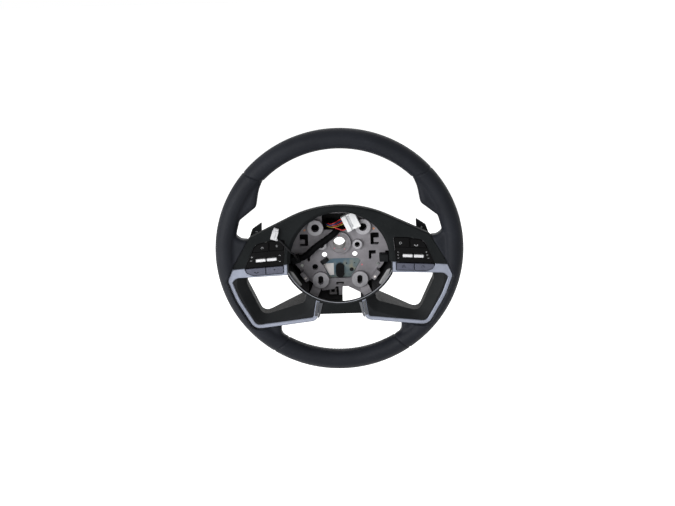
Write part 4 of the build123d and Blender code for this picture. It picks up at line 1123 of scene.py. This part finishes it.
def ring_strip(inner, outer, low, high):
    """A bent strip along the inner edge of the hub ring, between two radii in millimetres."""
    bm = bmesh.new()
    end = math.acos(RING_HALF_WIDTH / outer)
    corners = ((inner, low), (outer, low), (outer, high), (inner, high))
    rows = []
    for i in range(RING_STEPS + 1):
        turn = -math.pi + end + (math.pi - 2 * end) * i / RING_STEPS
        across, rise = math.cos(turn), math.sin(turn)
        rows.append([bm.verts.new(at(r * across, RING_CENTRE + r * rise, h)) for r, h in corners])
    for first, second in zip(rows, rows[1:]):
        for a in range(4):
            b = (a + 1) % 4
            bm.faces.new((first[a], first[b], second[b], second[a]))
    bm.faces.new(rows[0])
    bm.faces.new(rows[-1])
    return tidy_normals(bm)


class WHEEL_OT_hub(bpy.types.Operator):
    """Adds the bore's splines, the ring's edge, the label, the pads, the clip and the paint marks in the hub"""

    bl_idname = "wheel.hub"
    bl_label = "Hub details"

    def execute(self, context):
        grown(
            "bore_splines",
            bpy.data.meshes.new("bore"),
            spline_tree(),
            "bore_steel",
            "steel",
            Teeth=context.scene.wheel_sizes.spline_teeth,
            Bore=BORE_RADIUS * MM,
            Length=BORE_LENGTH * MM,
            Tooth=SPLINE_TOOTH * MM,
        )
        for name, (material, *edges) in RING_STRIPS.items():
            piece(name, ring_strip(*edges), material)
        piece("module_label", plates([(LABEL_OUTLINE, MODULE_FACE, -0.1, 0.15)]), "label_paper")
        eyes = [(circle(radius, 20, x, z), MODULE_FACE, -0.1, 0.25) for x, z, radius in EYELETS]
        piece("module_eyelets", plates(eyes), "black_rubber")
        stud = [(circle(r, 28, 0, STUD_HEIGHT), MODULE_FACE, low, high) for r, low, high in STUD_STEPS]
        piece("grommet_stud", plates(stud), "black_rubber", edge=0.4)
        pads = [([(sign * x, z) for x, z in PAD_OUTLINE], FRONT, PAD_BACK, PAD_FRONT) for _, sign in SIDES]
        piece("hub_pads", plates(pads), "pad_grey", edge=1.2, steps=3)
        piece("harness_clip", blocks(CLIP_BLOCKS, CLIP_PLACE), "black_plastic", edge=0.5)
        for material, spots in PAINT_MARKS.items():
            rows = []
            for x, z, height, radius in spots:
                outline = circle(radius, 14, flat=MARK_FLATNESS)
                rows.append((outline, lying(x, z, height, MARK_TURN), -0.05, 0.08))
            piece(f"marks_{material}", plates(rows), material)
        return {"FINISHED"}


# Casting

FLOOR_RADIUS, FLOOR_BORE = 47.5, 16.5
FLOOR_HOLE, FLOOR_HOLE_PLACE = 6.0, (23.5, -23.6)
FLOOR_BACK, FLOOR_FRONT = -21.35, -20.15
# Webs at the foot of the casting: outline, back and front
FOOT_WEBS = (
    ([(10.0, -70.6), (33.4, -70.6), (34.6, -85.0), (32.0, -82.4)], FRONT, -9.6, -5.2),
    ([(-3.3, -74.0), (3.3, -74.0), (2.9, -86.0), (-2.9, -86.0)], FRONT, -9.7, -6.8),
    ([(-31.0, -70.6), (-7.0, -70.6), (-9.0, -75.4), (-29.0, -77.6)], FRONT, -9.6, -5.2),
)
FOOT_BRACKET = (
    ((-17.5, -84.4, -12.0), (-6.0, -81.6, -6.2)),
    ((-17.2, -81.8, -11.6), (-14.6, -77.0, -7.4)),
    ((-9.2, -81.8, -11.6), (-6.6, -75.0, -7.0)),
)
# Bosses on the casting's right side, and how far the slot in the lower one is drawn out each way
UPPER_BOSS, LOWER_BOSS, GUIDE_BOSS = (36.5, 24.4), (30.3, -58.8), (27.5, -3.0)
SLOT_RISE = 2.9
MACHINED_BACK, MACHINED_FRONT = 0.95, 1.15
# Outline of a dark plate of painted shade near the middle of the casting
CENTRE_SHADE_PLATE = [(1.5, -59.0), (10.0, -59.0), (10.0, -68.0), (1.5, -68.0)]
# The slanted inner facet and the face of a trim's leg, both in a dark silver that is painted shade: outline,
# back and the height of each front corner
TRIM_LEG_FACETS = (
    ([(27.0, -77.3), (31.8, -76.9), (36.0, -102.0), (32.4, -98.6)], 56.5, (58.4, 59.9, 59.9, 58.4)),
    ([(32.7, -75.9), (36.6, -74.3), (40.4, -97.0), (36.5, -97.7)], 59.3, (60.15, 60.35, 60.35, 60.15)),
)


def pierced_plate(outlines, low, high):
    """A flat plate between an outer outline and holes in millimetres, from one height to another."""
    bm = bmesh.new()
    edges = []
    for outline in outlines:
        loop = [bm.verts.new(at(x, z, low)) for x, z in outline]
        edges += [bm.edges.new((a, b)) for a, b in zip(loop, loop[1:] + loop[:1])]
    bmesh.ops.triangle_fill(bm, use_beauty=True, edges=edges)
    top = bmesh.ops.extrude_face_region(bm, geom=bm.faces[:] + bm.edges[:] + bm.verts[:])["geom"]
    verts = [v for v in top if isinstance(v, bmesh.types.BMVert)]
    bmesh.ops.translate(bm, vec=at(0, 0, high - low), verts=verts)
    return bm


def boss_slot(sign, radius):
    """The outline of the upright slot in a lower boss."""
    x0, z0 = LOWER_BOSS
    return [(sign * x0 + x, z0 + z + math.copysign(SLOT_RISE, z)) for x, z in circle(radius, 32)]


def machined_faces():
    """The bright rings on the casting's bosses."""
    bm = bmesh.new()
    for _, sign in SIDES:
        upper, lower, guide = ((sign * x, z) for x, z in (UPPER_BOSS, LOWER_BOSS, GUIDE_BOSS))
        for outlines in (
            [circle(11.9, 40, *upper), circle(6.3, 32, *upper)],
            [circle(12.4, 40, *lower), boss_slot(sign, 4.1)],
            [circle(7.2, 32, *guide), circle(4.2, 24, *guide)],
        ):
            ring = mesh_of("machined_face", pierced_plate(outlines, MACHINED_BACK, MACHINED_FRONT))
            bm.from_mesh(ring)
            bpy.data.meshes.remove(ring)
    return tidy_normals(bm)


def leg_facets():
    """The slanted facets over the legs of both trims, which carry the dark silver of painted shade."""
    bm = bmesh.new()
    for _, sign in SIDES:
        for outline, back, front in TRIM_LEG_FACETS:
            lower = [at(sign * x, z, back) for x, z in outline]
            prism(bm, lower, [at(sign * x, z, h) for (x, z), h in zip(outline, front)])
    return tidy_normals(bm)


class WHEEL_OT_casting(bpy.types.Operator):
    """Adds the rear cover's floor, the casting's webs and bright faces, dark plates of painted shade in the
    slots and near the middle, and the trims' facets in a dark silver of painted shade
    """

    bl_idname = "wheel.casting"
    bl_label = "Casting and floor"

    def execute(self, context):
        x, z = FLOOR_HOLE_PLACE
        holes = [circle(FLOOR_HOLE, 32, sign * x, z) for _, sign in SIDES]
        outlines = [circle(FLOOR_RADIUS, 72), circle(FLOOR_BORE, 48), *holes]
        floor = tidy_normals(pierced_plate(outlines, FLOOR_BACK, FLOOR_FRONT))
        piece("rear_cover_floor", floor, "grained_black")
        piece("foot_webs", plates(FOOT_WEBS), "cast_magnesium", edge=0.6)
        piece("foot_bracket", blocks(FOOT_BRACKET, FRONT), "steel", edge=0.4)
        piece("machined_faces", machined_faces(), "machined")
        # Dark plates of painted shade inside the slots of the lower bosses and near the middle of the casting
        shade_plates = [(boss_slot(sign, 3.95), FRONT, -9.9, -8.4) for _, sign in SIDES]
        shade_plates.append((CENTRE_SHADE_PLATE, FRONT, -10.4, -9.3))
        piece("slot_liners", plates(shade_plates), "black_rubber")
        # Facets in the dark silver of painted shade over the trims' legs
        piece("trim_leg_facets", leg_facets(), "leg_silver", edge=0.3)
        return {"FINISHED"}


# Screws: place, seat, length of the shank and turn
SCREW_ROWS = {
    "switch_screws": (58.5, -35.4, -4.0, 5.9, math.pi / 2),
    "rear_cover_screws": (54.0, 30.0, -21.4, 14.4, -math.pi / 2),
}
SCREW_HEAD, SCREW_RISE = 4.2, 2.6


class WHEEL_OT_screws(bpy.types.Operator):
    """Puts cross-head screws in the hub plate and in the rear cover"""

    bl_idname = "wheel.screws"
    bl_label = "Screws"

    def execute(self, context):
        tree = screw_tree()
        for node, (x, z, seat, shank, turn) in SCREW_ROWS.items():
            points = bpy.data.meshes.new("screw_seats")
            points.from_pydata([at(sign * x, z, seat) for _, sign in SIDES], [], [])
            grown(
                node + "_heads",
                points,
                tree,
                "pale_zinc",
                "zinc",
                [node],
                Head=SCREW_HEAD * MM,
                Rise=SCREW_RISE * MM,
                Shank=shank * MM,
                Turn=turn,
            )
        return {"FINISHED"}


# Wiring: every route from its start to its plug

SLEEVE_ROUTE = [
    (-61.27, -21.57, 4.6), (-54.5, -19.65, 4.6), (-46.5, -13.5, 6.4), (-38.5, -5.0, 8.0), (-28.0, 2.5, 8.6),
    (-17.0, 10.0, 8.8), (-5.0, 18.6, 8.6), (-0.5, 26.84, -3.8), (-2.0, 28.5, -11.5),
]
TAPE_ROUTE = [
    (-2.0, 28.5, -11.5), (-2.9, 29.5, -15.6), (-9.2, 31.6, -16.6), (-15.5, 32.5, -15.8), (-20.2, 32.3, -11.0),
    (-20.4, 31.4, -4.0), (-20.2, 31.0, -1.6), (-17.0, 30.2, 3.4),
]
LEAD_ROUTE = [
    (-66.0, -20.5, 10.0), (-66.0, -20.5, 19.5), (-65.4, -17.0, 29.5), (-65.4, -11.5, 39.0), (-66.5, -5.5, 48.5),
    (-69.0, 0.0, 57.5), (-73.5, 5.0, 62.4), (-81.5, 15.5, 63.0), (-87.37, 22.27, 63.6), (-91.74, 23.69, 63.6),
]
WIRE_ROUTES = {
    "red_wire_1": [
        (-16.85, 32.28, 3.64), (-14.39, 31.67, 7.48), (-10.5, 34.0, 15.5),
        (-4.5, 36.0, 15.0), (-1.25, 36.93, 7.1), (4.21, 39.42, 7.1),
    ],
    "red_wire_2": [
        (-15.27, 30.84, 2.4), (-12.81, 30.23, 6.24), (-8.8, 30.6, 14.6),
        (-2.8, 31.4, 13.8), (0.99, 32.02, 7.1), (6.45, 34.51, 7.1),
    ],
    "red_wire_3": [
        (-16.08, 28.52, 2.54), (-13.63, 27.9, 6.38), (-6.0, 26.6, 11.0),
        (1.5, 23.6, 10.2), (6.01, 21.01, 7.1), (11.47, 23.5, 7.1),
    ],
    "blue_wire_1": [
        (-18.64, 30.84, 4.55), (-16.18, 30.23, 8.39), (-11.8, 32.2, 17.4),
        (-4.2, 34.0, 16.4), (-0.13, 34.48, 7.1), (5.33, 36.96, 7.1),
    ],
    "yellow_wire_1": [
        (-18.16, 28.52, 3.87), (-15.7, 27.9, 7.71), (-10.0, 28.6, 16.0),
        (-1.9, 29.3, 13.9), (2.11, 29.56, 7.1), (7.57, 32.05, 7.1),
    ],
}
WRAP_STEP, WRAP_RINGS = 0.3, 260
BLACK_PLUGS = {"left_plug": lying(-68.0, -23.5, -4.0, 16.0), "right_plug": lying(68.0, -24.0, -4.0)}
BLACK_PLUG_BLOCKS = (
    ((-6.4, -5.4, 0.0), (6.4, 5.4, 14.0)),
    ((-7.0, -6.0, 0.0), (7.0, 6.0, 3.2)),
    ((-7.0, -6.0, 9.2), (7.0, 6.0, 11.4)),
    ((-2.6, -6.0, 3.0), (2.6, -5.2, 9.4)),
    *(((x - 0.5, 5.2, 3.0), (x + 0.5, 6.0, 9.4)) for x in (-4.6, -1.6, 1.6, 4.6)),
)
# The large white plug: two thick walls with a latch in the sunken band between them
MAIN_PLUG_PLACE = lying(18.3, 35.4, 1.2, 24.5)
MAIN_PLUG_BLOCKS = (
    ((-11.15, -12.7, 0.0), (-3.6, 12.7, 11.8)),
    ((-3.8, -12.5, 0.0), (1.4, 12.5, 9.4)),
    ((1.2, -12.7, 0.0), (11.15, 12.7, 11.8)),
)
LATCH_BLOCKS = (
    ((-2.9, -8.0, 9.2), (0.5, 10.5, 10.2)),
    ((-2.9, -8.0, 9.2), (0.5, -4.6, 11.4)),
    *(((-11.7, y - 1.15, 4.75), (-11.0, y + 1.15, 7.05)) for y in (9.5, 6.8, 4.1, 1.4, -8.0)),
)
# The small white plug: a body with a raised rim, a latch bump and the lead's collar
SMALL_PLUG_PLACE = lying(-94.5, 33.0, 60.2, -18.0)
SMALL_PLUG_BLOCKS = (
    ((-4.5, -9.2, 0.0), (4.5, 4.4, 6.4)),
    ((-3.8, 4.2, 0.6), (3.8, 8.4, 5.6)),
    ((-1.4, -6.0, 6.2), (1.4, 2.0, 7.0)),
    ((4.3, -9.5, 1.6), (6.4, -6.2, 5.2)),
)


def route_curve(name, route):
    """The smooth line of a cord through its route."""
    data = bpy.data.curves.new(name, "CURVE")
    data.dimensions = "3D"
    spline = data.splines.new("NURBS")
    spline.points.add(len(route) - 1)
    for point, place in zip(spline.points, route):
        point.co = (*at(*place), 1.0)
    spline.order_u = 3
    spline.use_endpoint_u = True
    spline.resolution_u = 14
    return data


def line_length(data):
    """The length of a cord's line."""
    host = linked("measure", data)
    mesh = bpy.data.meshes.new_from_object(host)
    ends = [[mesh.vertices[i].co for i in e.vertices] for e in mesh.edges]
    total = sum((a - b).length for a, b in ends)
    bpy.data.objects.remove(host)
    bpy.data.meshes.remove(mesh)
    return total


def lay_cord(name, route, radius, insulation, node):
    """A round cord along its route to the pieces of its plug, in place of a CAD node."""
    data = route_curve(name, route)
    length = line_length(data)
    data.bevel_depth = radius
    data.bevel_resolution = 4
    data.use_fill_caps = True
    data.materials.append(bpy.data.materials[insulation])
    obj = linked(name, data)
    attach(obj, WHEEL)
    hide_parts(node)


class WHEEL_OT_harness(bpy.types.Operator):
    """Lays the wrapped harness and the taped wires, and seats the two black plugs"""

    bl_idname = "wheel.harness"
    bl_label = "Harness"

    def execute(self, context):
        sizes = context.scene.wheel_sizes
        tree = wrap_tree()
        for node, route, radius, pitch in (
            ("harness_sleeve", SLEEVE_ROUTE, sizes.sleeve_radius, 9.0),
            ("wire_tape", TAPE_ROUTE, sizes.tape_radius, 5.0),
        ):
            grown(
                node + "_wrap",
                route_curve(node, route),
                tree,
                "black_tape",
                "black_tape",
                [node],
                50.0,
                Radius=radius,
                Pitch=pitch * MM,
                Step=WRAP_STEP * MM,
                Rings=WRAP_RINGS,
            )
        for node, place in BLACK_PLUGS.items():
            shell, look = blocks(BLACK_PLUG_BLOCKS, place), "black_plastic"
            piece(node + "_shell", shell, look, stands_for=[node], edge=0.35)
        return {"FINISHED"}


def white_plug(name, shape, place, material, stands_for, edge, steps):
    """A piece of one of the white plugs."""
    shell = blocks(shape, place)
    return piece(
        name, shell, material, stands_for=stands_for, edge=edge, steps=steps
    )


class WHEEL_OT_wires(bpy.types.Operator):
    """Lays the loose wires to the large plug and the thin lead to the small one"""

    bl_idname = "wheel.wires"
    bl_label = "Wires and plugs"

    def execute(self, context):
        sizes = context.scene.wheel_sizes
        place = MAIN_PLUG_PLACE
        plug = [
            white_plug("main_plug", MAIN_PLUG_BLOCKS, place, "white_plastic", ["main_connector"], 0.6, 3),
            white_plug("main_plug_latch", LATCH_BLOCKS, place, "grey_plastic", [], 0.3, 2),
        ]
        for name, route in WIRE_ROUTES.items():
            colour = name.split("_")[0]
            node = "red_wires" if colour == "red" else f"{colour}_wire"
            lay_cord(name, route, sizes.wire_radius, f"{colour}_insulation", node)
        place = SMALL_PLUG_PLACE
        plug = [
            white_plug("small_plug", SMALL_PLUG_BLOCKS, place, "milky_plastic", ["small_connector"], 0.5, 3)
        ]
        lay_cord("plug_lead", LEAD_ROUTE, sizes.lead_radius, "black_insulation", "small_lead")
        return {"FINISHED"}


# Stage

AIM = Vector((0, -0.05, 0))
LENS, SENSOR_WIDTH = 57.2, 36.0
LENS_SHIFT = (-0.0031, -0.0025)
CAMERA_DISTANCE = 1.6
CAMERA_RISE, CAMERA_ROLL = math.radians(15.0), math.radians(-1.6)
# Lamps: place, width and power
LAMPS = {
    "front_lamp": ((-1.3, -2.2, 0.6), 1.8, 46.0),
    "low_lamp": ((-1.9, -1.3, -0.1), 2.0, 33.0),
    "top_lamp": ((-0.3, 0.1, 2.0), 2.4, 3.0),
    "back_lamp": ((0.5, 2.2, 0.8), 2.6, 18.0),
}
ROOM_LIGHT, FLOOR_GLOW = 0.33, 0.8
WHITE, FLOOR_WHITE = (1.0, 1.0, 1.0, 1.0), (0.86, 0.86, 0.86, 1.0)
FLOOR_SIZE, FLOOR_LEVEL = 30.0, -0.6


def soft_lamp(name, place, size, power):
    """A large soft lamp that shines at the wheel."""
    data = bpy.data.lights.new(name, "AREA")
    data.shape = "DISK"
    data.size = size
    data.energy = power
    lamp = linked(name, data)
    lamp.location = place
    lamp.rotation_euler = (AIM - Vector(place)).to_track_quat("-Z", "Y").to_euler()


def seen_directly(tree):
    """A value that is 1 for what the camera, a mirror or glass sees."""
    rays = tree.nodes.new("ShaderNodeLightPath").outputs
    seen = maths(tree, "MAXIMUM", rays["Is Camera Ray"], rays["Is Glossy Ray"])
    return maths(tree, "MAXIMUM", seen, rays["Is Transmission Ray"])


def front_camera():
    """The camera, a little above the wheel's axis."""
    data = bpy.data.cameras.new("camera")
    data.lens = LENS
    data.sensor_width = SENSOR_WIDTH
    data.shift_x, data.shift_y = LENS_SHIFT
    camera = linked("camera", data)
    back = Vector((0, -math.cos(CAMERA_RISE), math.sin(CAMERA_RISE)))
    camera.location = AIM + back * CAMERA_DISTANCE
    camera.rotation_mode = "QUATERNION"
    roll = Matrix.Rotation(CAMERA_ROLL, 3, "Z").to_quaternion()
    camera.rotation_quaternion = (-back).to_track_quat("-Z", "Y") @ roll
    return camera


def white_room():
    """White surroundings that light the wheel less than they show."""
    world = bpy.data.worlds.new("white_room")
    world.use_nodes = True
    tree = world.node_tree
    glow = tree.nodes["Background"].inputs
    tree.links.new(spread(tree, seen_directly(tree), 0.0, 1.0, ROOM_LIGHT, 1.0), glow["Strength"])
    glow["Color"].default_value = WHITE
    return world


def white_floor():
    """A white floor that fades into the surroundings."""
    bm = bmesh.new()
    bmesh.ops.create_grid(bm, x_segments=1, y_segments=1, size=FLOOR_SIZE)
    mesh = mesh_of("floor", bm)
    mesh.transform(Matrix.Translation((0, 0, FLOOR_LEVEL)))
    white = bpy.data.materials.new("white_floor")
    white.use_nodes = True
    tree = white.node_tree
    surface = tree.nodes["Principled BSDF"]
    surface.inputs["Base Color"].default_value = FLOOR_WHITE
    surface.inputs["Roughness"].default_value = 0.9
    strength = maths(tree, "MULTIPLY", seen_directly(tree), FLOOR_GLOW)
    glow = add_node(tree, "ShaderNodeEmission", Color=WHITE, Strength=strength)
    both = tree.nodes.new("ShaderNodeAddShader")
    tree.links.new(surface.outputs["BSDF"], both.inputs[0])
    tree.links.new(glow.outputs["Emission"], both.inputs[1])
    tree.links.new(both.outputs["Shader"], tree.nodes["Material Output"].inputs["Surface"])
    mesh.materials.append(white)
    return linked("floor", mesh)


class WHEEL_OT_stage(bpy.types.Operator):
    """Sets up the camera, the lamps and the white surroundings"""

    bl_idname = "wheel.stage"
    bl_label = "Stage"

    def execute(self, context):
        scene = context.scene
        scene.view_settings.view_transform = "Standard"
        scene.camera = front_camera()
        for name, (place, size, power) in LAMPS.items():
            soft_lamp(name, place, size, power)
        scene.world = white_room()
        white_floor()
        return {"FINISHED"}


OPERATORS = (
    WHEEL_OT_stage,
    WHEEL_OT_paint,
    WHEEL_OT_leather,
    WHEEL_OT_stitches,
    WHEEL_OT_icons,
    WHEEL_OT_hub,
    WHEEL_OT_casting,
    WHEEL_OT_screws,
    WHEEL_OT_harness,
    WHEEL_OT_wires,
)


class WHEEL_PT_pieces(bpy.types.Panel):
    """Lists the steps that dress the wheel"""

    bl_idname = "WHEEL_PT_pieces"
    bl_label = "Steering wheel"
    bl_space_type = "VIEW_3D"
    bl_region_type = "UI"
    bl_category = "Wheel"

    def draw(self, context):
        for group in (context.scene.wheel_sizes, context.scene.wheel_colours):
            for label in group.__annotations__:
                self.layout.prop(group, label)
        for step in OPERATORS:
            self.layout.operator(step.bl_idname)


CLASSES = (WheelSizes, WheelColours, *OPERATORS, WHEEL_PT_pieces)


def register():
    for kind in CLASSES:
        bpy.utils.register_class(kind)
    bpy.types.Scene.wheel_sizes = PointerProperty(type=WheelSizes)
    bpy.types.Scene.wheel_colours = PointerProperty(type=WheelColours)


def unregister():
    del bpy.types.Scene.wheel_colours
    del bpy.types.Scene.wheel_sizes
    for kind in reversed(CLASSES):
        bpy.utils.unregister_class(kind)


def main():
    register()
    make_finishes(bpy.context.scene.wheel_colours)
    bpy.ops.wheel.stage()
    bpy.ops.wheel.paint()
    bpy.ops.wheel.leather()
    bpy.ops.wheel.stitches()
    bpy.ops.wheel.icons()
    bpy.ops.wheel.hub()
    bpy.ops.wheel.casting()
    bpy.ops.wheel.screws()
    bpy.ops.wheel.harness()
    bpy.ops.wheel.wires()


if __name__ == "__main__":
    main()
